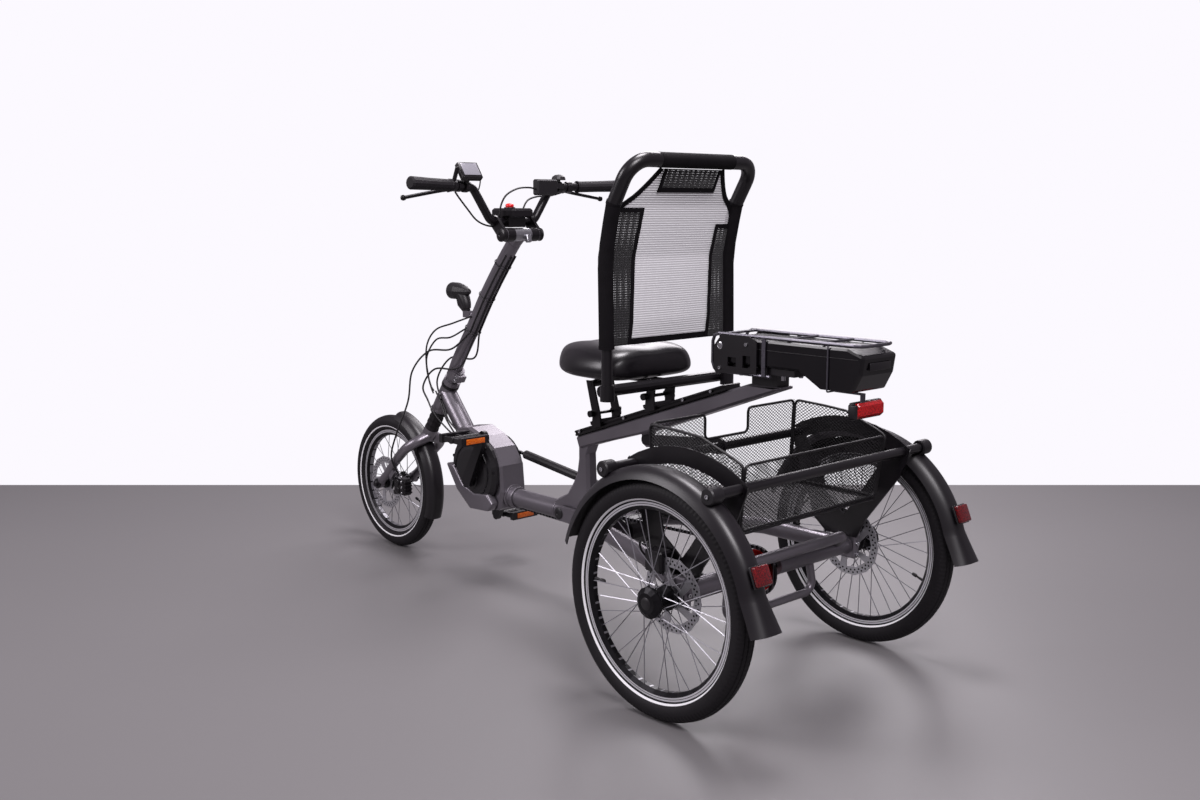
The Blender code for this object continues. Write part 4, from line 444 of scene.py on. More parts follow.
def clean(weld=0.0, outward=True):
    """Joins points of the active piece closer than weld, and turns its faces outward."""
    bpy.ops.object.mode_set(mode="EDIT")
    bpy.ops.mesh.select_all(action="SELECT")
    if weld:
        bpy.ops.mesh.remove_doubles(threshold=weld)
    if outward:
        bpy.ops.mesh.normals_make_consistent(inside=False)
    bpy.ops.object.mode_set(mode="OBJECT")


def worked(ob, kind, **settings):
    """Adds a modifier with its settings and applies it."""
    only(ob)
    modifier = ob.modifiers.new(kind, kind)
    for name, value in settings.items():
        setattr(modifier, name, value)
    bpy.ops.object.modifier_apply(modifier=modifier.name)


def settle(ob, name, material, body, smooth=35):
    """Names a finished piece, bakes its place, gives its finish and lets it ride."""
    only(ob)
    bpy.ops.object.transform_apply(location=True, rotation=True, scale=True)
    ob.name = name
    ob.data.name = name
    paint(ob, material)
    bpy.ops.object.shade_smooth_by_angle(angle=math.radians(smooth))
    if body is not None:
        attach(ob, body)
    return ob


def merged(name, pieces, material, body, smooth=35):
    """Joins pieces into one and finishes it."""
    bpy.ops.object.select_all(action="DESELECT")
    for ob in pieces:
        ob.select_set(True)
    bpy.context.view_layer.objects.active = pieces[0]
    if len(pieces) > 1:
        bpy.ops.object.join()
    return settle(pieces[0], name, material, body, smooth)


def standing(place, direction):
    """Matrix that puts a thing made on z = 0 at a place, facing a direction."""
    turn = Vector(direction).normalized().to_track_quat("Z", "Y").to_matrix().to_4x4()
    return Matrix.Translation(at(place)) @ turn


def turned(name, profile, centre, direction, material, body, steps=48, smooth=35):
    """Profile of (radius, height) pairs spun about an axis through centre."""
    mesh = bpy.data.meshes.new(name)
    edges = [(i, i + 1) for i in range(len(profile) - 1)]
    mesh.from_pydata([(r, 0, h) for r, h in profile], edges, [])
    ob = new_object(name, mesh)
    bpy.ops.object.mode_set(mode="EDIT")
    bpy.ops.mesh.select_all(action="SELECT")
    bpy.ops.mesh.spin(steps=steps, angle=math.tau, center=(0, 0, 0), axis=UP)
    clean(0.00002)
    ob.data.transform(standing(centre, direction))
    return settle(ob, name, material, body, smooth)


def shaped_grid(columns, rows, place):
    """Grid whose points go where place puts their shares along the columns and rows."""
    ob = primitive(bpy.ops.mesh.primitive_grid_add, x_subdivisions=columns, y_subdivisions=rows,
                   size=1)
    for vertex in ob.data.vertices:
        vertex.co = at(place(vertex.co.x + 0.5, vertex.co.y + 0.5))
    return ob


def bent(route, bend, steps=8):
    """Route whose inner corners are arcs of radius bend, as in the solids."""
    route = [Vector(point) for point in route]
    result = [route[0]]
    for before, corner, after in zip(route, route[1:], route[2:]):
        back = before - corner
        on = after - corner
        half = back.angle(on) / 2
        reach = min(bend / math.tan(half), 0.45 * min(back.length, on.length))
        radius = reach * math.tan(half)
        middle = (back.normalized() + on.normalized()).normalized()
        centre = corner + middle * (radius / math.sin(half))
        first = corner + back.normalized() * reach - centre
        last = corner + on.normalized() * reach - centre
        for step in range(steps + 1):
            result.append(centre + first.slerp(last, step / steps).normalized() * radius)
    result.append(route[-1])
    return result


def smooth_line(points, per_span):
    """Points of a smooth curve through the given ones."""
    points = [Vector(point) for point in points]
    ends = [2 * points[0] - points[1]] + points + [2 * points[-1] - points[-2]]
    result = [points[0]]
    for p0, p1, p2, p3 in zip(ends, ends[1:], ends[2:], ends[3:]):
        for step in range(1, per_span + 1):
            t = step / per_span
            result.append(0.5 * (2 * p1 + (p2 - p0) * t
                                 + (2 * p0 - 5 * p1 + 4 * p2 - p3) * t ** 2
                                 + (3 * p1 - p0 - 3 * p2 + p3) * t ** 3))
    return result


def from_curve(name, points, closed, taper=1.0, **settings):
    """Mesh of a straight-lined curve, without doubled points."""
    curve = bpy.data.curves.new(name, "CURVE")
    for setting, value in settings.items():
        setattr(curve, setting, value)
    spline = curve.splines.new("POLY")
    spline.points.add(len(points) - 1)
    for index, place in enumerate(points):
        spline.points[index].co = (*place, 1)
        spline.points[index].radius = 1 + (taper - 1) * index / (len(points) - 1)
    spline.use_cyclic_u = closed
    new_object(name, curve)
    bpy.ops.object.convert(target="MESH")
    ob = bpy.context.view_layer.objects.active
    clean(0.00001, False)
    return ob


def tube(name, route, radius, material, body, sides=6, closed=False, taper=1.0):
    """Round tube along a route, by a bevelled curve made into a mesh."""
    ob = from_curve(name, [at(place) for place in route], closed, taper, dimensions="3D",
                    bevel_depth=radius, bevel_resolution=sides, use_fill_caps=not closed)
    return settle(ob, name, material, body, 50)


def block(name, centre, size, edge, material, body, turn=0.0):
    """Rounded block: a cube sized in place with its edges bevelled; turn is in degrees."""
    ob = primitive(bpy.ops.mesh.primitive_cube_add, size=1, location=at(centre),
                   rotation=(0, math.radians(turn), 0))
    ob.scale = size
    bpy.ops.object.transform_apply(location=False, rotation=False, scale=True)
    worked(ob, "BEVEL", width=edge, segments=3)
    return settle(ob, name, material, body)


def screw_master(radius, height):
    """One cap screw with a sunk hexagon, standing on z = 0."""
    socket_r = radius * 0.5
    ob = primitive(bpy.ops.mesh.primitive_cylinder_add, vertices=18, radius=radius, depth=height,
                   location=(0, 0, height / 2))
    bpy.ops.object.transform_apply(location=True)
    bpy.ops.object.mode_set(mode="EDIT")
    bpy.ops.mesh.select_mode(type="FACE")
    bpy.ops.mesh.select_all(action="DESELECT")
    work = bmesh.from_edit_mesh(ob.data)
    for face in work.faces:
        face.select = face.normal.z > 0.9
    bmesh.update_edit_mesh(ob.data)
    bpy.ops.mesh.inset(thickness=radius * 0.14)
    bpy.ops.transform.translate(value=(0, 0, radius * 0.12))
    bpy.ops.mesh.inset(thickness=radius * 0.86 - socket_r)
    bpy.ops.mesh.inset(thickness=socket_r * 0.08)
    bpy.ops.mesh.extrude_region_move(TRANSFORM_OT_translate={"value": (0, 0, -height * 0.6)})
    bpy.ops.object.mode_set(mode="OBJECT")
    return ob


def screws(name, places, radius, height, body, direction=None, material=BOLT_STEEL):
    """Copies of one screw as one piece, facing out to their own side if not told otherwise."""
    master = screw_master(radius, height)
    copies = []
    for place in places:
        ob = new_object(name, master.data.copy())
        ob.data.transform(standing(place, direction or (0, math.copysign(1, place[1]), 0)))
        copies.append(ob)
    bpy.data.objects.remove(master, do_unlink=True)
    return merged(name, copies, material, body)


# Camera: its lens and sensor in millimetres

CAMERA_PLACE = (-1.68096, 2.05544, 1.03408)
CAMERA_FORWARD = Vector((0.72590, -0.67006, -0.15518))
CAMERA_LENS = 36.98
CAMERA_SENSOR = 36


def add_camera():
    data = bpy.data.cameras.new("camera")
    data.sensor_width = CAMERA_SENSOR
    data.lens = CAMERA_LENS
    camera = new_object("camera", data)
    camera.location = at(CAMERA_PLACE)
    camera.rotation_euler = CAMERA_FORWARD.to_track_quat("-Z", "Y").to_euler()
    bpy.context.scene.camera = camera


add_camera()


# Basket: expanded metal net in each wire rim

BASKET_FRONT_X = 0.12626
BASKET_TOP_Z = 0.582
BASKET_FLOOR_Z = 0.386
BASKET_WIRE_R = 0.003
BASKET_LOW_Z = BASKET_FLOOR_Z + 2 * BASKET_WIRE_R + 0.0003
BASKET_LOW_HALF = 0.226
BASKET_TOP_HALF = 0.238
BASKET_LEAN = (BASKET_TOP_HALF - BASKET_LOW_HALF) / (BASKET_TOP_Z - BASKET_FLOOR_Z)
BASKET_REAR_LOW_X = -0.113
BASKET_REAR_TOP_X = -0.130
BASKET_REAR_TOP_Z = 0.530
BASKET_SIDE_LINE = ((-0.104, 0.542), (-0.065, 0.556), (-0.020, 0.573), (0.040, 0.578))
GAP_HALF = 0.072
GAP_LOW_Z = 0.526
NET_CELL_W = 0.0108
NET_CELL_H = 0.0074
NET_STRAND = 0.0023
NET_FLAT = 0.35


def net_sheet(label, outline, origin, across, upward):
    """Diamond net cut to a flat outline, in a rim of round wire."""
    across = Vector(across).normalized()
    upward = Vector(upward).normalized()
    low = Vector([min(values) for values in zip(*outline)])
    high = Vector([max(values) for values in zip(*outline)])
    size = high - low
    count = 2 * math.ceil(1.05 * (max(size.x / NET_CELL_W, size.y / NET_CELL_H) + 2))
    ob = primitive(bpy.ops.mesh.primitive_grid_add, x_subdivisions=count, y_subdivisions=count,
                   size=1)
    side = math.sqrt(2) / count
    ob.data.transform(Matrix.Translation((*((low + high) / 2), 0))
                      @ Matrix.Diagonal((NET_CELL_W / side, NET_CELL_H / side, 1, 1))
                      @ Matrix.Rotation(math.radians(45), 4, "Z"))
    keep_inside(ob.data, outline)
    worked(ob, "WIREFRAME", thickness=NET_STRAND, use_replace=True, use_even_offset=False)
    turn = Matrix((across, upward, across.cross(upward))).transposed().to_4x4()
    ob.data.transform(Matrix.Translation(at(origin)) @ turn @ Matrix.Diagonal((1, 1, NET_FLAT, 1)))
    corners = [Vector(origin) + across * x + upward * y for x, y in outline]
    start = (corners[-1] + corners[0]) / 2
    rim = tube("net_rim", bent([start, *corners, start], 0.012, 4)[:-1], BASKET_WIRE_R,
               WIRE_COAT, None, 3, True)
    panel = merged("net_" + label, [ob, rim], WIRE_COAT, "frame", 40)
    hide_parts("basket_" + label)


def inside_outline(x, y, outline):
    """True where a point lies inside a closed outline, by the edges crossed on the way out."""
    result = False
    for first, last in zip(outline, [*outline[1:], outline[0]]):
        if (first[1] > y) != (last[1] > y):
            crossing = first[0] + (y - first[1]) * (last[0] - first[0]) / (last[1] - first[1])
            if x < crossing:
                result = not result
    return result


def keep_inside(mesh, outline):
    """Leaves the cells whose middles lie inside the outline."""
    work = bmesh.new()
    work.from_mesh(mesh)
    outside = [face for face in work.faces
               if not inside_outline(*face.calc_center_median().xy, outline)]
    bmesh.ops.delete(work, geom=outside, context="FACES")
    work.to_mesh(mesh)
    work.free()


def basket_nets():
    front = [(-BASKET_LOW_HALF, BASKET_LOW_Z), (BASKET_LOW_HALF, BASKET_LOW_Z),
             (BASKET_TOP_HALF, BASKET_TOP_Z), (GAP_HALF, BASKET_TOP_Z), (GAP_HALF, GAP_LOW_Z),
             (-GAP_HALF, GAP_LOW_Z), (-GAP_HALF, BASKET_TOP_Z), (-BASKET_TOP_HALF, BASKET_TOP_Z)]
    net_sheet("front", front, (BASKET_FRONT_X, 0, 0), LEFT, UP)
    rise = BASKET_REAR_TOP_Z - BASKET_LOW_Z
    up = Vector((BASKET_REAR_TOP_X - BASKET_REAR_LOW_X, 0, rise))
    half = BASKET_LOW_HALF + BASKET_LEAN * rise
    rear = [(-BASKET_LOW_HALF, 0), (BASKET_LOW_HALF, 0), (half, up.length), (-half, up.length)]
    net_sheet("rear", rear, (BASKET_REAR_LOW_X, 0, BASKET_LOW_Z), LEFT, up)
    top = [(x, z - BASKET_LOW_Z) for x, z in ((BASKET_REAR_TOP_X, BASKET_REAR_TOP_Z),
                                              *BASKET_SIDE_LINE, (BASKET_FRONT_X, BASKET_TOP_Z))]
    edge = BASKET_LOW_HALF + 0.0063
    for label, sign in SIDES:
        net_sheet(label, [(BASKET_FRONT_X, 0), (BASKET_REAR_LOW_X, 0), *top],
                  (0, sign * edge, BASKET_LOW_Z), AHEAD, (0, sign * BASKET_LEAN, 1))
    floor = [(BASKET_FRONT_X, -edge), (BASKET_FRONT_X, edge), (BASKET_REAR_LOW_X, edge),
             (BASKET_REAR_LOW_X, -edge)]
    net_sheet("floor", floor, (0, 0, BASKET_FLOOR_Z), AHEAD, LEFT)


basket_nets()


# Backrest: stretched mesh, side and top bands, tapes, tube sleeves

BACK_TUBE_Y = 0.200
BACK_LEG_R = 0.0125
SOCKET_R = 0.0165
SLEEVE_R = 0.0165
SLEEVE_OUTER_R = SLEEVE_R + 0.0006
SLEEVE_BOTTOM_Z = 0.722
SEAT_CROSS = (0.331, 0.622)
BACK_LINE = [(0.305, 0.610), (0.312, 0.922), (0.287, 1.037), (0.230, 1.134)]
MESH_LOW_Z = 0.728
MESH_TOP_Z = 1.116
MESH_INNER = BACK_TUBE_Y - SLEEVE_R + 0.004
CORNER_LOW_Z = 1.020
CORNER_KNEE_Z = 1.045
CORNER_KNEE = 0.021
CORNER_DRAW = 0.062
CORNER_H = 0.067
TOP_BAND_HALF = 0.088
TOP_BAND_Z = 1.072
CORNER_TAPE_LOW_Z = 1.018
CORNER_TAPE_H = 0.098
BOW = 0.010
BOW_LOW_Z = 0.725
BOW_LOW_FADE = 0.05
BOW_TOP_Z = 1.118
BOW_TOP_FADE = 0.04
BAND_BEHIND = 0.0030
TAPE_BEHIND = 0.0042
TAPE_W = 0.010
LEFT_BAND = ((0.134, MESH_LOW_Z), (0.118, 1.026))
RIGHT_BAND = ((0.120, MESH_LOW_Z), (0.137, 0.988))


def back_x(z):
    """Forward place of the backrest tube at height z."""
    for low, high in zip(BACK_LINE, BACK_LINE[1:]):
        if z <= high[1]:
            return low[0] + (high[0] - low[0]) * (z - low[1]) / (high[1] - low[1])
    return BACK_LINE[-1][0]


def half_width(z):
    """Half of the mesh's width at height z: drawn in over its open corners."""
    if z <= CORNER_LOW_Z:
        return MESH_INNER
    if z <= CORNER_KNEE_Z:
        share = (z - CORNER_LOW_Z) / (CORNER_KNEE_Z - CORNER_LOW_Z)
        return MESH_INNER - CORNER_KNEE * share ** 1.5
    return MESH_INNER - CORNER_KNEE - CORNER_DRAW * ((z - CORNER_KNEE_Z) / CORNER_H) ** 0.75


def on_back(y, z, behind=0.0):
    """Point on the backrest's mesh, bowed back a little in its middle."""
    share = min(abs(y) / half_width(z), 1.0)
    bow = BOW * (1 - share ** 2)
    bow *= min(1.0, (z - BOW_LOW_Z) / BOW_LOW_FADE)
    bow *= min(1.0, (BOW_TOP_Z - z) / BOW_TOP_FADE)
    return back_x(z) - bow - behind, y, z


def back_surface(name, rows, columns, low_z, high_z, edges, behind, material):
    """Curved patch of cloth on the backrest; edges gives its low and high y at a height."""
    def place(across, up):
        z = low_z + (high_z - low_z) * up
        low_y, high_y = edges(z)
        return on_back(low_y + (high_y - low_y) * across, z, behind)
    return settle(shaped_grid(columns, rows, place), name, material, "seat", 60)


def ribbon(name, points, count, width, behind, thick=0.0012):
    """Flat tape on the backrest along (y, z) points, in count steps from each to the next."""
    route = []
    for first, last in zip(points, points[1:]):
        route += [Vector(first).lerp(Vector(last), i / count) for i in range(count)]
    route.append(Vector(points[-1]))
    end = len(route) - 1

    def place(along, across):
        index = round(along * end)
        heading = (route[min(index + 1, end)] - route[max(index - 1, 0)]).normalized()
        side = (across - 0.5) * width
        return on_back(route[index].x - heading.y * side, route[index].y + heading.x * side, behind)

    ob = shaped_grid(end, 1, place)
    worked(ob, "SOLIDIFY", thickness=thick, offset=0)
    return settle(ob, name, TAPE, "seat", 60)


def side_band(label, sign, band):
    """Dark band down one side of the mesh, with tapes on its inner edge, its top and the corner."""
    (low_y, low_z), (high_y, top_z) = band

    def edges(z):
        inner = low_y + (high_y - low_y) * (z - low_z) / (top_z - low_z)
        return sorted((sign * inner, sign * half_width(z)))

    corner_zs = [CORNER_TAPE_LOW_Z + CORNER_TAPE_H * i / 14 for i in range(15)]
    return [
        back_surface("side_band_" + label, 40, 8, low_z, top_z, edges, BAND_BEHIND, DARK_MESH),
        ribbon("band_tape_" + label, [(sign * low_y, low_z), (sign * high_y, top_z)], 24, TAPE_W,
               TAPE_BEHIND),
        ribbon("band_top_tape_" + label, [(sign * (high_y - 0.005), top_z), (sign * 0.182, top_z)],
               6, TAPE_W, TAPE_BEHIND),
        ribbon("corner_tape_" + label, [(sign * (half_width(z) - 0.003), z) for z in corner_zs],
               1, 0.011, 0.0010, 0.0028)]


def backrest():
    sheet = back_surface("backrest_sheet", 56, 40, MESH_LOW_Z, MESH_TOP_Z,
                         lambda z: (-half_width(z), half_width(z)), 0.0, MAIN_MESH)
    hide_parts("backrest_mesh")
    pieces = side_band("left", 1, LEFT_BAND) + side_band("right", -1, RIGHT_BAND)
    pieces += [
        back_surface("top_band", 8, 24, TOP_BAND_Z, MESH_TOP_Z,
                     lambda z: (-TOP_BAND_HALF, TOP_BAND_HALF), 0.0032, DARK_MESH),
        ribbon("top_band_tape", [(-0.093, TOP_BAND_Z - 0.002), (0.093, TOP_BAND_Z - 0.002)], 16,
               TAPE_W, TAPE_BEHIND),
        ribbon("bottom_hem", [(-0.186, MESH_LOW_Z + 0.005), (0.186, MESH_LOW_Z + 0.005)], 20,
               0.014, 0.0, 0.0040)]
    for label, sign in SIDES:
        side = [(sign * TOP_BAND_HALF, z) for z in (TOP_BAND_Z - 0.002, MESH_TOP_Z)]
        pieces.append(ribbon("top_side_tape_" + label, side, 6, 0.009, 0.0044))


def backrest_tube():
    """Bent tube of the backrest with its legs and their sockets, in one smooth piece."""
    low = (back_x(SLEEVE_BOTTOM_Z), SLEEVE_BOTTOM_Z)
    left = [(x, BACK_TUBE_Y, z) for x, z in (low, *BACK_LINE[1:])]
    right = [(x, -y, z) for x, y, z in reversed(left)]
    pieces = [tube("loop", bent(left + right, 0.060, 12), SLEEVE_R, BLACK_COAT, None, 12)]
    for sign in (1, -1):
        y = sign * BACK_TUBE_Y
        leg = [(BACK_LINE[0][0], y, BACK_LINE[0][1]), (low[0], y, low[1] + 0.02)]
        socket = [(SEAT_CROSS[0] - 0.026, y, SEAT_CROSS[1] + side) for side in (-0.018, 0.018)]
        pieces.append(tube("leg", leg, BACK_LEG_R, BLACK_COAT, None, 10))
        pieces.append(tube("socket", socket, SOCKET_R, BLACK_COAT, None, 10))
    whole = merged("backrest_tube", pieces, BLACK_COAT, "seat", 50)
    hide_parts("backrest_frame")


def sleeves():
    """Cloth sleeves on the backrest tube, with a raised seam at each end."""
    hem = [(SLEEVE_R, -0.004), (SLEEVE_R + 0.0012, -0.004), (SLEEVE_R + 0.0016, 0.004),
           (SLEEVE_R, 0.004)]
    for label, sign in SIDES:
        y = sign * BACK_TUBE_Y
        route = [(back_x(z), y, z) for z in (0.724, 0.78, 0.84, 0.90, 0.95, 1.0, 1.040)]
        tube("sleeve_" + label, route, SLEEVE_OUTER_R, SLEEVE, "seat", 10)
        for z in (0.7245, 1.040):
            turned("sleeve_hem_%s_%d" % (label, round(z * 1000)), hem, (back_x(z), y, z),
                   (back_x(z + 0.004) - back_x(z - 0.004), 0, 0.008), TAPE, "seat", 28)
    top = [(BACK_LINE[-1][0], y, BACK_LINE[-1][1]) for y in (-0.118, -0.06, 0, 0.06, 0.118)]
    tube("sleeve_top", top, SLEEVE_OUTER_R, SLEEVE, "seat", 10)


backrest()
backrest_tube()
sleeves()


# Saddle: foam pad under vinyl

SADDLE_BASE_Z = 0.6262
SADDLE_SECTIONS = [
    # forward place, half width, underside, crown height over the pad's base
    (0.339, 0.072, 0.030, 0.052), (0.343, 0.104, 0.016, 0.068), (0.356, 0.130, 0.008, 0.080),
    (0.380, 0.143, 0.005, 0.086), (0.412, 0.148, 0.004, 0.089), (0.470, 0.149, 0.004, 0.089),
    (0.515, 0.141, 0.004, 0.087), (0.550, 0.126, 0.006, 0.084), (0.582, 0.103, 0.008, 0.080),
    (0.612, 0.075, 0.012, 0.074), (0.634, 0.050, 0.018, 0.067), (0.646, 0.030, 0.028, 0.058),
]
SADDLE_HALF_RING = [(0, 0), (0.45, 0), (0.84, 0.02), (0.99, 0.16), (1.0, 0.30), (0.985, 0.48),
                    (0.90, 0.74), (0.74, 0.91), (0.46, 1.0), (0.20, 0.985), (0, 0.965)]


def saddle():
    ring = SADDLE_HALF_RING + [(-y, z) for y, z in reversed(SADDLE_HALF_RING[1:-1])]
    last = len(SADDLE_SECTIONS) - 1

    def place(around, along):
        across, up = ring[round(around * len(ring)) % len(ring)]
        x, half, under, top = SADDLE_SECTIONS[round(along * last)]
        return x, half * across, SADDLE_BASE_Z + under + (top - under) * up

    ob = shaped_grid(len(ring), last, place)
    only(ob)
    bpy.ops.object.mode_set(mode="EDIT")
    bpy.ops.mesh.select_all(action="SELECT")
    bpy.ops.mesh.remove_doubles(threshold=0.0001)
    bpy.ops.mesh.select_all(action="DESELECT")
    bpy.ops.mesh.select_mode(type="EDGE")
    bpy.ops.mesh.select_non_manifold()
    bpy.ops.mesh.fill_holes(sides=0)
    clean()
    worked(ob, "SUBSURF", levels=2, render_levels=2)
    pad = settle(ob, "saddle_pad", SEAT_VINYL, "seat", 60)
    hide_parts("saddle")


saddle()


# Tyres: rounded walls with a grooved tread, on the solids' own profile

TYRE_DEPTH = 0.0435
WHEELS = (("rear_tyre_left", (0, HALF_TRACK, REAR_TYRE_R), REAR_TYRE_R, "rear_wheel_left"),
          ("rear_tyre_right", (0, -HALF_TRACK, REAR_TYRE_R), REAR_TYRE_R, "rear_wheel_right"),
          ("front_tyre", FRONT_AXLE, FRONT_TYRE_R, "front_wheel"))
# Pairs of depth under the tread's crown and half width, in millimetres
WALL = ((43.5, 12.5), (40, 16.7), (35, 20.3), (28.5, 22.7), (22, 23.4), (15, 22.4), (8, 18.7))
TREAD = ((5.2, 15.8), (6.4, 15), (6.2, 14), (3.6, 13.2), (1.6, 9.2), (1.4, 7.8), (3.2, 7.2),
         (3, 6.2), (0.9, 5.6), (0.2, 2))


def tyres():
    for node, centre, outer_r, body in WHEELS:
        wall = smooth_line([(outer_r - depth, half, 0) for depth, half in mm(*WALL)], 3)
        half = [(point.x, point.y) for point in wall]
        half += [(outer_r - depth, w) for depth, w in mm(*TREAD)]
        profile = half + [(r, -h) for r, h in reversed(half)]
        ob = turned(node + "_moulded", [*profile, profile[0]], centre, LEFT,
                    OWN_FINISH.get(node, TYRE_REAR), body, 120, 40)
        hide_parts(node)


# Fenders: rolled shells with a flared flap at the rear

FENDER_R = 0.275
# Crown radius, drop to the edges, half width, first and last angle round the axle in degrees
REAR_SHELL = (FENDER_R + 0.001, 0.025, 0.033, 17, 165)
FRONT_SHELL = (0.223, 0.020, 0.030, 202, 101)
FLAP_SHARE = 0.16
FLAP_FLARE = (0.16, 0.08)
FLAP_SHIFT = Vector((-0.036, 0, -0.066))
BAR_PLACES = ((0.14006, 0.50015), (-0.15262, 0.49274))
BAR_RING_R = 0.288
BAR_R = 0.0105
BAR_HALF = 0.356
REFLECTOR_DEGREES = 157.5


def fender_shell(name, centre, shell, body, flap=0.0):
    """Rolled shell over a wheel between two angles; flap is the share that flares at its end."""
    crown_r, drop, half_w, first, last = shell

    def place(way, across):
        share = 2 * (across - 0.5)
        step = max(0.0, (way - 1 + flap) / flap) if flap else 0.0
        angle = math.radians(first + (last - first) * min(way / (1 - flap), 1.0))
        radius = crown_r - drop * abs(share) ** 3.2
        spread = 1 + FLAP_FLARE[0] * step + FLAP_FLARE[1] * step ** 2
        return Vector(centre) + FLAP_SHIFT * step + Vector(
            (radius * math.cos(angle), share * half_w * spread, radius * math.sin(angle)))

    ob = shaped_grid(64, 20, place)
    worked(ob, "SOLIDIFY", thickness=0.002, offset=0)
    clean()
    return settle(ob, name, FENDER_COAT, body, 50)


def from_rear_axle(radius, angle, y):
    """Place at a radius and an angle round the rear axle."""
    return Vector((radius * math.cos(angle), y, REAR_TYRE_R + radius * math.sin(angle)))


def fenders():
    angle = math.radians(REFLECTOR_DEGREES)
    out = from_rear_axle(1, angle, 0) - Vector(REAR_AXLE)
    for label, sign in SIDES:
        y = sign * HALF_TRACK
        shell = fender_shell("fender_shell_" + label, (0, y, REAR_TYRE_R), REAR_SHELL, "frame",
                             FLAP_SHARE)
        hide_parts("fender_" + label)
        for end, (x, z) in zip(("front", "rear"), BAR_PLACES):
            turn = math.atan2(z - REAR_TYRE_R, x)
            pad = [from_rear_axle(radius, turn, y) for radius in (FENDER_R, BAR_RING_R - BAR_R)]
            tube("fender_pad_%s_%s" % (label, end), pad, 0.009, BLACK_NYLON, "frame")
        foot = from_rear_axle(FENDER_R + 0.0045, angle, y)
        for part, away, size, edge, material in (
                ("foot", 0, (0.009, 0.030, 0.030), 0.003, BLACK_NYLON),
                ("base", 0.0055, (0.004, 0.046, 0.043), 0.0015, BLACK_NYLON),
                ("lens", 0.0115, (0.010, 0.042, 0.039), 0.0035, RED_LENS)):
            block("reflector_%s_%s" % (part, label), foot + out * away, size, edge, material,
                  "frame", 180 - REFLECTOR_DEGREES)
    shell = fender_shell("front_fender_shell", FRONT_AXLE, FRONT_SHELL, "steering")
    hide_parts("front_fender")


tyres()
fenders()


# Steering: round coats over the faceted tubes, cables, ties, lamp, display

CROWN = Vector((1.287, 0, 0.373))
STEER_UP = Vector((-0.5754, 0, 0.8179)).normalized()
STEER_AHEAD = Vector((STEER_UP.z, 0, -STEER_UP.x))
POST_BOTTOM_S = 0.1983
POST_R = 0.019
POST_ROUTE = smooth_line([CROWN + STEER_UP * (POST_BOTTOM_S + 0.004), (1.138, 0, 0.600),
                          (1.068, 0, 0.697), (1.002, 0, 0.793), (0.931, 0, 0.882),
                          (0.880, 0, 0.940)], 2)
POST_RUN_LOW_Z = 0.690
POST_RUN_TOP_Z = 0.915
CABLE_R = 0.0024
LEAD_R = 0.0017
COAT = 0.0002
# Node, angle round the post, free run after the post in millimetres
CABLES = (
    ("cable_front_brake", 128, [
        (1120, 36, 640), (1225, 40, 625), (1304, 44, 560), (1318, 52, 470), (1338, 81.5, 375),
        (1368, 81.5, 300), (1374, 50, 234.5)]),
    ("cable_gear", 172, [(1100, 22, 590), (1205, 34, 575), (1262, 36, 520), (1247, 30, 478)]),
    ("cable_rear_brake", 218, [
        (1110, -36, 610), (1225, -38, 600), (1290, -34, 530), (1262, -30, 462)]))
# Hoses that only show here: name, body, radius, route in millimetres
HOSES = (
    ("guide_loop_upper", "steering", CABLE_R, [
        (1045, 21.5, 735), (1118, 31, 712), (1194, 36, 688), (1236, 38, 640), (1238, 38, 572),
        (1223, 36.5, 528), (1213, 32.8, 511.5)]),
    ("guide_loop_lower", "steering", CABLE_R, [
        (1070, 21.5, 700), (1130, 30, 672), (1196, 33, 660), (1243, 34, 606), (1236, 34, 548),
        (1224, 34, 520), (1214.8, 33.2, 504)]),
    ("guide_run_front", "frame", CABLE_R, [
        (1211.3, 27.5, 510), (1190, 31, 492), (1173, 33, 468), (1152, 33.5, 434), (1113, 33, 398)]),
    ("guide_run_rear", "frame", CABLE_R, [
        (1209, 26.2, 503.5), (1189, 26.8, 489), (1168, 28.5, 466), (1144, 33.5, 436),
        (1098, 32, 406)]),
    ("guide_run_gear", "frame", CABLE_R, [
        (1247, 30, 478), (1227, 31.5, 456), (1190, 33, 430), (1150, 33, 408), (1106, 32.5, 388)]),
    ("guide_run_rear_brake", "frame", CABLE_R, [
        (1262, -30, 462), (1243, -31, 443), (1205, -32, 424), (1160, -32, 404), (1106, -31, 388)]))
LEADS = (
    ("display_lead", "handlebar", LEAD_R, [
        (868, 138, 1110), (872, 122, 1116), (878, 110, 1100), (882, 112, 1078), (887, 118, 1066)]),
    ("control_lead", "handlebar", CABLE_R, [
        (860, -57, 1080), (862, -36, 1083), (868, -4, 1080), (876, 26, 1064), (881, 40, 1040),
        (884, 44, 1014), (886, 44, 1003)]),
    ("right_hose", "handlebar", CABLE_R, [
        (896, -176, 1070), (902, -140, 1062), (904, -100, 1060), (902, -66, 1050),
        (898, -46, 1026), (894, -40, 1006)]),
    ("left_hose", "handlebar", CABLE_R, [
        (896, 176, 1070), (905, 158, 1056), (908, 132, 1030), (906, 104, 1000), (900, 78, 986),
        (892, 52, 981.5)]),
    *(("caliper_hose_" + label, "frame", CABLE_R, [
        (66, sign * 296, 330), (86, sign * 294, 345), (112, sign * 286, 338),
        (124, sign * 268, 310), (116, sign * 246, 288.5), (98, sign * 236, 285.5)])
      for label, sign in SIDES))


def on_axis(s, ahead=0.0, left=0.0):
    """Place on the steering axis, s above the crown."""
    return CROWN + STEER_UP * s + STEER_AHEAD * ahead + Vector((0, left, 0))


def round_post(place, angle, reach):
    """Place beside the post, at an angle that runs from its front."""
    return place + STEER_AHEAD * math.cos(angle) * reach + Vector((0, math.sin(angle) * reach, 0))


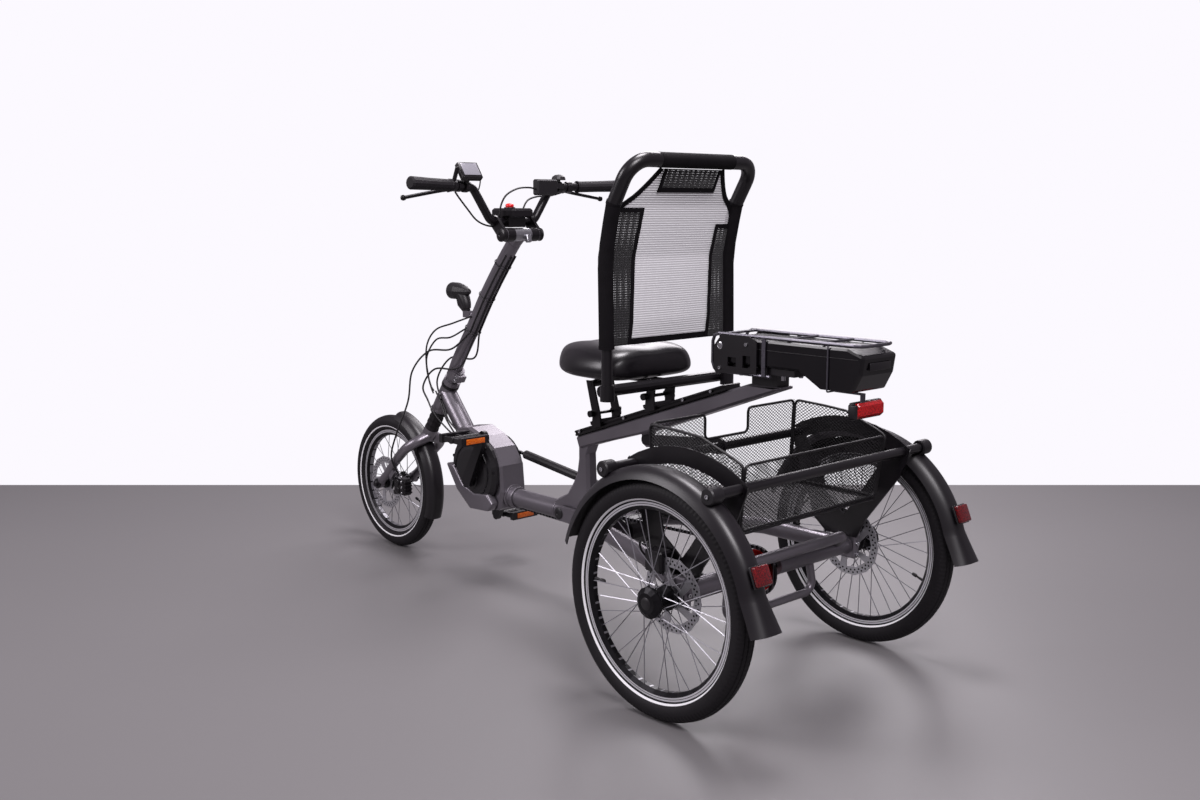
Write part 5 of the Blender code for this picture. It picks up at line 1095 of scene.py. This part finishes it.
def cables():
    for node, turn, free in CABLES:
        against = [round_post(place, math.radians(turn), POST_R + CABLE_R + 0.0003)
                   for place in reversed(POST_ROUTE) if POST_RUN_LOW_Z <= place.z <= POST_RUN_TOP_Z]
        route = against[:-1] + smooth_line([against[-1], *mm(*free)], 8)
        hose = tube(node + "_sheath", route, CABLE_R + COAT, CABLE_PVC, "steering", 4)
        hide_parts(node)
    for rows, per_span, sides in ((HOSES, 8, 4), (LEADS, 6, 3)):
        for name, body, radius, route in rows:
            tube(name, smooth_line(mm(*route), per_span), radius, CABLE_PVC, body, sides)
    block("cable_guide", (1.190, 0.0275, 0.493), (0.012, 0.008, 0.014), 0.002, BLACK_NYLON,
          "frame", 35)
    screws("cable_guide_screw", [(1.186, 0.0300, 0.505)], 0.0036, 0.0026, "frame")


def cable_ties():
    for name, z in (("upper", 0.882), ("middle", 0.797), ("lower", 0.702)):
        place = min(POST_ROUTE, key=lambda point: abs(point.z - z))
        ring = []
        for index in range(28):
            angle = math.tau * index / 28
            slack = 0.0022 if math.cos(angle) > -0.45 else 0.0062
            ring.append(round_post(place, angle, POST_R + slack))
        tube("cable_tie_" + name, ring, 0.0012, BLACK_NYLON, "steering", 2, True)
        block("cable_tie_knot_" + name,
              place - STEER_AHEAD * (POST_R + 0.0080) + Vector((0, 0.004, 0)),
              (0.005, 0.006, 0.005), 0.001, BLACK_NYLON, "steering", -35)


BAR_RISE = Vector((0.885, 0.131, 1.084))
BAR_END = Vector((0.841, 0.345, 1.090))
BAR_HALF_ROUTE = [BAR_RISE.lerp(BAR_END, (0.209 - BAR_RISE.y) / (BAR_END.y - BAR_RISE.y)),
                  BAR_RISE, Vector((0.886, 0.071, 0.994))]
DROPOUT_Y = 0.0665
MIRROR = Vector((1, -1, 1))


def steering_coats():
    tube("post_coat", smooth_line(POST_ROUTE, 3), POST_R + COAT, GREY_COAT, "steering", 14)
    route = BAR_HALF_ROUTE + [point * MIRROR for point in reversed(BAR_HALF_ROUTE)]
    tube("bar_coat", bent(route, 0.030, 10), 0.011 + COAT, BLACK_ALLOY, "handlebar", 10)
    for label, sign in SIDES:
        blade = [(1.284, sign * 0.006, 0.366), (1.296, sign * 0.044, 0.350),
                 (1.322, sign * 0.060, 0.331), (1.366, sign * 0.060, 0.296),
                 (1.423, sign * 0.060, 0.240), (WHEELBASE, sign * 0.060, FRONT_TYRE_R)]
        tube("fork_blade_coat_" + label, bent(blade, 0.05), 0.0162, GREY_COAT, "steering", 10,
             False, 0.72)
        turned("fork_end_" + label,
               mm((0, 0), (15.5, 0), (15.5, 3.5), (13.5, 5), (9.5, 5.5), (9.5, 11.5), (7, 13.5),
                  (0, 14)),
               (WHEELBASE, sign * DROPOUT_Y, FRONT_TYRE_R), (0, sign, 0), BLACK_ALLOY,
               "steering", 40)
    turned("head_ring", mm((23.6, -4.5), (25.6, -4), (25.6, 4), (23.6, 4.5)), on_axis(0.192),
           STEER_UP, BLACK_ALLOY, "frame", 40)
    turned("head_low_ring", mm((23.6, -4), (26.2, -3.5), (26.2, 3.5), (23.6, 4)),
           on_axis(0.0915), STEER_UP, BLACK_ALLOY, "frame", 40)
    bolts = [on_axis(POST_BOTTOM_S + 0.033 + 0.0125 * i, -0.0265, 0.0152) for i in range(2)]
    screws("post_clamp_bolts", bolts, 0.0052, 0.0055, "steering")


LOW_TUBE_Z = 0.252


def ring_coat(name, centre, direction, radius, half):
    """Thin round skin over a tube that has something turning inside."""
    inner = radius - 0.0005
    turned(name, [(inner, -half), (radius, -half), (radius, half), (inner, half), (inner, -half)],
           centre, direction, GREY_COAT, "frame", 56)


def frame_coats():
    """Round skins that hide the flats of the frame's tubes."""
    ring_coat("head_tube_coat", on_axis(0.1425), STEER_UP, 0.0237, 0.0552)
    ring_coat("cross_coat_left", (0, 0.1935, REAR_TYRE_R), LEFT, 0.0227, 0.0830)
    ring_coat("cross_coat_right", (0, -0.1485, REAR_TYRE_R), LEFT, 0.0227, 0.1282)
    bridge = mm((-4, -238, 258), (-55, -196, 293), (-55, 125, 293), (-4, 176, 258))
    hoop = mm((0, -146, 240), (0, -165, 160), (0, 138, 160), (0, 132, 240))
    skins = [("down_tube", [on_axis(0.162), (1.083, 0, 0.380)], 0.0262, 16),
             ("low_tube", [(0.705, 0, LOW_TUBE_Z), (0.874, 0, LOW_TUBE_Z)], 0.0247, 16),
             ("low_socket", [(0.8718, 0, LOW_TUBE_Z), (0.912, 0, LOW_TUBE_Z)], 0.0302, 16),
             ("bridge", bent(bridge, 0.035), 0.0127, 10),
             ("hoop", bent(hoop, 0.025), 0.0092, 8)]
    for name, route, radius, sides in skins:
        tube(name + "_coat", route, radius, GREY_COAT, "frame", sides)
    for label, sign in SIDES:
        stay = mm((562, sign * 32.5, 252), (385, sign * 120, 268),
                (177, sign * 200, 272), (12, sign * 262, 252))
        tube("stay_coat_" + label, bent(stay, 0.030, 4), 0.0194, GREY_COAT, "frame", 12)
    for end, (x, z) in zip(("front", "rear"), BAR_PLACES):
        tube(end + "_bar_coat", [(x, -BAR_HALF, z), (x, BAR_HALF, z)], BAR_R + 0.0003, BLACK_COAT,
             "frame", 8)


LEVER_PIVOT = Vector((0.902, 0.190, 1.077))
LEVER_TIP = Vector((0.902, 0.329, 1.055))
LEVER_KNEE = LEVER_PIVOT.lerp(LEVER_TIP, 0.30) + Vector((0.007, 0, 0))
BALL_R = 0.0072


def lever_blades():
    ball = [(BALL_R * math.sin(math.pi * i / 8), -BALL_R * math.cos(math.pi * i / 8))
            for i in range(9)]
    for label, sign in SIDES:
        route = [point * Vector((1, sign, 1)) for point in (LEVER_PIVOT, LEVER_KNEE, LEVER_TIP)]
        body = "brake_lever_" + label
        tube("lever_blade_" + label, smooth_line(route, 8), 0.0050, BLACK_ALLOY, body, 6, False,
             0.9)
        turned("lever_ball_" + label, ball, route[-1], UP, BLACK_ALLOY, body, 24, 60)


CALIPER = Vector((1.3715, 0.0415, 0.2065))


def caliper_details():
    """Piston caps, bolts, cooling ribs and hose fitting on the front brake."""
    for label, z in (("upper", 0.0120), ("lower", -0.0120)):
        turned("piston_cap_" + label,
               mm((0, 0), (10.4, 0), (10.4, 2), (9, 3.2), (4.2, 3.4), (3.6, 2.2), (0, 2.2)),
               CALIPER + Vector((0.006, 0.0155, z)), LEFT, BLACK_ALLOY, "steering", 36)
    for i in range(4):
        block("caliper_rib_%d" % i, CALIPER + Vector((-0.0288, 0, -0.0165 + 0.011 * i)),
              (0.0045, 0.026, 0.0050), 0.0012, BLACK_ALLOY, "steering")
    bolts = [CALIPER + Vector((-0.018, 0.0155, z)) for z in (-0.017, 0.0, 0.017)]
    screws("caliper_bolts", bolts, 0.0036, 0.0030, "steering")
    turned("caliper_hose_fitting", mm((0, 0), (6.2, 0), (6.2, 4), (4.6, 5), (4.2, 11), (0, 11)),
           (1.374, 0.050, 0.2316), UP, BOLT_STEEL, "steering", 24)
    for label, x, z in (("upper", 1.3980, 0.2265), ("lower", 1.3925, 0.1870)):
        block("caliper_lug_" + label, (x, 0.0545, z), (0.014, 0.008, 0.014), 0.003, BLACK_ALLOY,
              "steering")


BARREL = Vector((0.853, 0, 0.961))
BUTTON_X = 0.897
LAMP_FACE = (1.1640, 0, 0.800)
DISPLAY = Vector((0.859, 0.160, 1.120))
DISPLAY_TILT = -55


def stem():
    for label, sign in SIDES:
        turned("stem_cap_" + label,
               mm((0, 0), (16.8, 0), (17.8, 1.2), (17.8, 4), (15, 5.6), (6, 6), (5, 4.5), (0, 4.5)),
               BARREL + Vector((0, sign * 0.0616, 0)), (0, sign, 0), BLACK_ALLOY, "handlebar", 40)
        turned("stem_sleeve_" + label, mm((17.2, 0), (18.2, 0.6), (18.2, 23.4), (17.2, 24)),
               BARREL + Vector((0, sign * 0.0275, 0)), (0, sign, 0), BLACK_ALLOY, "steering", 40)
    turned("stem_middle", mm((17.2, -25.5), (17.7, -25), (17.7, 25), (17.2, 25.5)), BARREL, LEFT,
           FOOT_ALLOY, "steering", 40)
    block("stem_lock", BARREL + Vector((-0.020, -0.010, -0.010)), (0.012, 0.016, 0.020), 0.003,
          FOOT_ALLOY, "steering", 20)
    block("stem_lid", (0.886, 0, 1.0284), (0.084, 0.058, 0.0022), 0.001, GLOSS_ABS, "handlebar")
    turned("button_ring", mm((12.2, 0), (15, 0), (14.6, 3), (12.6, 3), (12.2, 0)),
           (BUTTON_X, 0, 1.0290), UP, BLACK_NYLON, "handlebar", 32)
    turned("button_cap", mm((9, 6), (11.4, 6.2), (11.4, 8.5), (10, 11.2), (6, 13), (0, 13.6)),
           (BUTTON_X, 0, 1.0285), UP, RED_BUTTON, "stem_button", 36)


def display_and_lamp():
    tilt = math.radians(DISPLAY_TILT)
    facing = Vector((math.sin(tilt), 0, math.cos(tilt)))
    block("display_screen", DISPLAY + facing * 0.0083 + Vector((0, 0, 0.002)),
          (0.036, 0.050, 0.0012), 0.0005, LCD, "handlebar", DISPLAY_TILT)
    block("display_rim", DISPLAY + facing * 0.0079, (0.046, 0.060, 0.0010), 0.0004, GLOSS_ABS,
          "handlebar", DISPLAY_TILT)
    neck = mm((1093.5, 0, 753), (1096, 0, 766), (1103, 0, 780), (1114, 0, 795))
    tube("lamp_neck", smooth_line(neck, 4), 0.0120, BLACK_NYLON, "headlamp", 8, False, 1.5)
    turned("lamp_glass", mm((0, 0.6), (15, 0.4), (16.4, -1), (0, -1.2)), LAMP_FACE, AHEAD,
           LAMP_LENS, "headlamp", 40)
    turned("lamp_bezel", mm((16.4, -4), (18.2, -3.6), (17.8, 0.4), (16.4, 0.6)), LAMP_FACE, AHEAD,
           BLACK_ALLOY, "headlamp", 40)


cables()
cable_ties()
steering_coats()
frame_coats()
lever_blades()
caliper_details()
stem()
display_and_lamp()


# Motor: frame-coloured guard under the cover, cover ring, bolts

GUARD = ((1.112, 0.322), (1.062, 0.2515), (1.006, 0.2095), (0.922, 0.2145), (0.904, 0.236),
         (0.928, 0.262), (0.985, 0.255), (1.035, 0.272), (1.078, 0.322))
GUARD_HALF_W = 0.0125
COVER = Vector((1.0, 0.0, 0.315))


def motor_details():
    ob = from_curve("motor_guard", [(x - CENTRE_X, z, 0) for x, z in GUARD], True,
                    dimensions="2D", fill_mode="BOTH", extrude=GUARD_HALF_W)
    ob.data.transform(Matrix.Translation((0, 0.0555, 0)) @ Matrix.Rotation(math.pi / 2, 4, "X"))
    worked(ob, "BEVEL", width=0.005, segments=3)
    settle(ob, "motor_guard", GREY_COAT, "frame", 30)
    turned("motor_ring", mm((70, 63), (71.2, 65.5), (74.5, 65.2), (76, 61.2)), COVER, LEFT,
           GLOSS_ABS, "frame", 72)
    turned("motor_boss", mm((23.5, 64.5), (23.5, 66.8), (21.5, 67.8), (14, 67.8), (13, 66.5)),
           (0.995, 0, 0.290), LEFT, BLACK_ALLOY, "frame")
    places = []
    for degrees in (20, 75, 130, 175):
        angle = math.radians(degrees)
        places.append(COVER + Vector((0.0905 * math.cos(angle), 0.0572, 0.0905 * math.sin(angle))))
    screws("motor_bolts", places, 0.0042, 0.0028, "frame", material=BLACK_ALLOY)


# Rear axle, wheels and battery details

RIM_DEPTH = 0.0175
SEAT_GAP = 0.0003


def valves():
    for _, centre, outer_r, body in WHEELS:
        inner_r = outer_r - TYRE_DEPTH - SEAT_GAP - RIM_DEPTH
        angle = math.radians(1.5 if body == "rear_wheel_left" else 200)
        way = Vector((math.cos(angle), 0, math.sin(angle)))
        turned("valve_" + body,
               mm((0, 0), (3.2, 0), (3.2, 12), (2.6, 13), (2.6, 20), (4, 21), (4, 30), (3, 32),
                  (0, 32)),
               Vector(centre) + way * (inner_r + 0.001), -way, BLACK_NYLON, body, 16)


def ring_profile(radius, bead):
    """Round bead about an axis, as a closed profile."""
    points = [(radius + bead * math.cos(math.tau * i / 10), bead * math.sin(math.tau * i / 10))
              for i in range(10)]
    return [*points, points[0]]


def axle_details():
    for label, sign in SIDES:
        turned("hub_cap_" + label,
               mm((17, 26.2), (17, 30), (15.5, 33.5), (11, 36.2), (5, 37.2), (0, 37.2)),
               (0, sign * HALF_TRACK, REAR_TYRE_R), (0, sign, 0), BLACK_NYLON,
               "rear_wheel_" + label)
        bolts = [(-0.0312, sign * 0.287, 0.253 + offset) for offset in (-0.026, 0, 0.026)]
        screws("lug_bolts_" + label, bolts, 0.0050, 0.0040, "frame", (-1, 0, 0))
        turned("axle_weld_" + label, ring_profile(0.0228, 0.0022),
               (0, sign * 0.2752, REAR_TYRE_R), LEFT, GREY_COAT, "frame")
        for x, z in BAR_PLACES:
            turned("bar_cap_%s_%d" % (label, round(1000 * x + 200)),
                   mm((12.6, 0), (16.5, 1), (17.2, 3), (17.2, 29), (15, 31.8), (6.5, 32.2),
                      (5.5, 31), (0, 31)),
                   (x, sign * 0.3385, z), (0, sign, 0), BLACK_NYLON, "frame", 40)
    for name, x, radius, bead in (("socket", 0.8722, 0.0268, 0.0030),
                                  ("socket_front", 0.893, 0.0305, 0.0035),
                                  ("mast", 0.700, 0.0243, 0.0026)):
        turned("weld_" + name, ring_profile(radius, bead), (x, 0, LOW_TUBE_Z), AHEAD, GREY_COAT,
               "frame")
    turned("axis_cap_left",
           mm((0, 0), (15, 0), (15, 1.6), (12, 3.2), (5, 3.6), (4.2, 2), (0, 2)),
           (0.664, 0.0361, LOW_TUBE_Z), LEFT, BLACK_NYLON, "frame", 36)


def battery_details():
    for name, place, size, edge, material, body in (
            ("battery_lid", (-0.085, 0, 0.7574), (0.300, 0.090, 0.0020), 0.0009, GLOSS_ABS,
             "battery"),
            ("battery_grip", (-0.2745, 0, 0.7210), (0.0030, 0.070, 0.016), 0.0013, BLACK_NYLON,
             "battery"),
            ("tail_light_base", (-0.2395, -0.004, 0.6294), (0.0110, 0.098, 0.036), 0.003,
             BLACK_NYLON, "frame"),
            ("tail_light_end", (-0.2450, 0.0455, 0.6294), (0.0190, 0.010, 0.030), 0.003,
             BLACK_NYLON, "frame")):
        block(name, place, size, edge, material, body)
    for label, sign in SIDES:
        seam = [(x, sign * 0.0571, 0.7355) for x in (-0.262, 0.070)]
        tube("battery_seam_" + label, seam, 0.0007, BLACK_NYLON, "battery", 2)
    turned("battery_lock", mm((0, 0), (8.2, 0), (8.2, 1.2), (6.2, 2), (5.8, 1.2), (0, 1.2)),
           (0.094, 0.0634, 0.7370), LEFT, BOLT_STEEL, "frame", 32)
    screws("holder_bolts", [(0.020, 0.0635, 0.7440), (0.094, 0.0635, 0.6880)], 0.0040, 0.0026,
           "frame")
    feet = [(x, y, 0.6832) for x in (-0.055, 0.060) for y in (0.030, -0.030)]
    screws("holder_feet", feet, 0.0050, 0.0110, "frame", (0, 0, -1))


motor_details()
valves()
axle_details()
battery_details()


# Fasteners and small fittings

def pedal_reflectors():
    for label, x, y, z in (("left", 0.91889, 0.145, 0.42732), ("right", 1.07112, -0.145, 0.15268)):
        for end, sign in (("front", 1), ("rear", -1)):
            block("pedal_reflector_%s_%s" % (label, end), (x + sign * 0.0508, y, z),
                  (0.0018, 0.060, 0.014), 0.0006, AMBER_LENS, "pedal_" + label)


BEAM_SLOPE = math.tan(math.radians(18.9))


def bar_screws():
    ends = [(x, sign * 0.3700, z) for x, z in BAR_PLACES for sign in (1, -1)]
    screws("bar_end_screws", ends, 0.0048, 0.003, "frame")
    rail = [(x + 0.0025, sign * 0.0278, 0.4675 + (0.612 - x) * BEAM_SLOPE)
            for x in (0.150, 0.235, 0.430, 0.590) for sign in (1, -1)]
    screws("rail_screws", rail, 0.0042, 0.0012, "frame")


pedal_reflectors()
bar_screws()


# Studio: pale floor and backdrop, soft lamps

FLOOR_EDGE = 1.394
FLOOR_SIZE = (8.0, 16.0, 1.0)
VIEW_FLAT = Vector((0.7348, -0.6783, 0))
# Name, place, aim, size, power
LAMPS = (("key", (-2.6, 1.4, 3.2), (0, 0, 0.4), 1.4, 110),
         ("side", (1.4, 3.0, 2.2), (0, 0, 0.5), 1.4, 60),
         ("back", (1.6, -2.8, 2.8), (0, 0, 0.5), 2.0, 80),
         ("top", (-0.2, -0.3, 3.6), (0, 0, 0), 1.2, 110))


def add_floor():
    """Painted floor that ends behind the tricycle, where the pale world starts."""
    floor_paint, tree, shader = new_material("painted_floor_pale_grey", "6b696a", 0.40)
    mottle(tree, shader, "676566", "737172", 600)
    wear(tree, shader, 0.36, 0.52, 900)
    floor = primitive(bpy.ops.mesh.primitive_grid_add, size=1, x_subdivisions=2, y_subdivisions=2,
                      location=VIEW_FLAT * (FLOOR_EDGE - FLOOR_SIZE[0] / 2),
                      rotation=(0, 0, math.atan2(VIEW_FLAT.y, VIEW_FLAT.x)))
    floor.name = "floor"
    floor.scale = FLOOR_SIZE
    floor.data.materials.append(floor_paint)


def add_world():
    """Soft light from all round, seen by the camera as a white wall."""
    world = bpy.data.worlds.new("studio")
    bpy.context.scene.world = world
    world.use_nodes = True
    tree = world.node_tree
    background = tree.nodes["Background"]
    background.inputs["Color"].default_value = linear("f4e9f6")
    background.inputs["Strength"].default_value = 0.30
    seen = add_node(tree, "Background", {"Color": "fcf9ff", "Strength": 1.0})
    add_node(tree, "MixShader", {"Fac": add_node(tree, "LightPath").outputs["Is Camera Ray"],
                                 1: background, 2: seen},
             tree.nodes["World Output"].inputs["Surface"])


def add_lamps():
    for name, place, aim, size, power in LAMPS:
        data = bpy.data.lights.new(name, "AREA")
        data.size = size
        data.energy = power
        data.color = (1.0, 0.955, 1.0)
        lamp = new_object(name, data)
        lamp.location = place
        lamp.rotation_euler = (Vector(aim) - Vector(place)).to_track_quat("-Z", "Y").to_euler()


add_floor()
add_world()
add_lamps()
bpy.context.scene.view_settings.view_transform = "Standard"
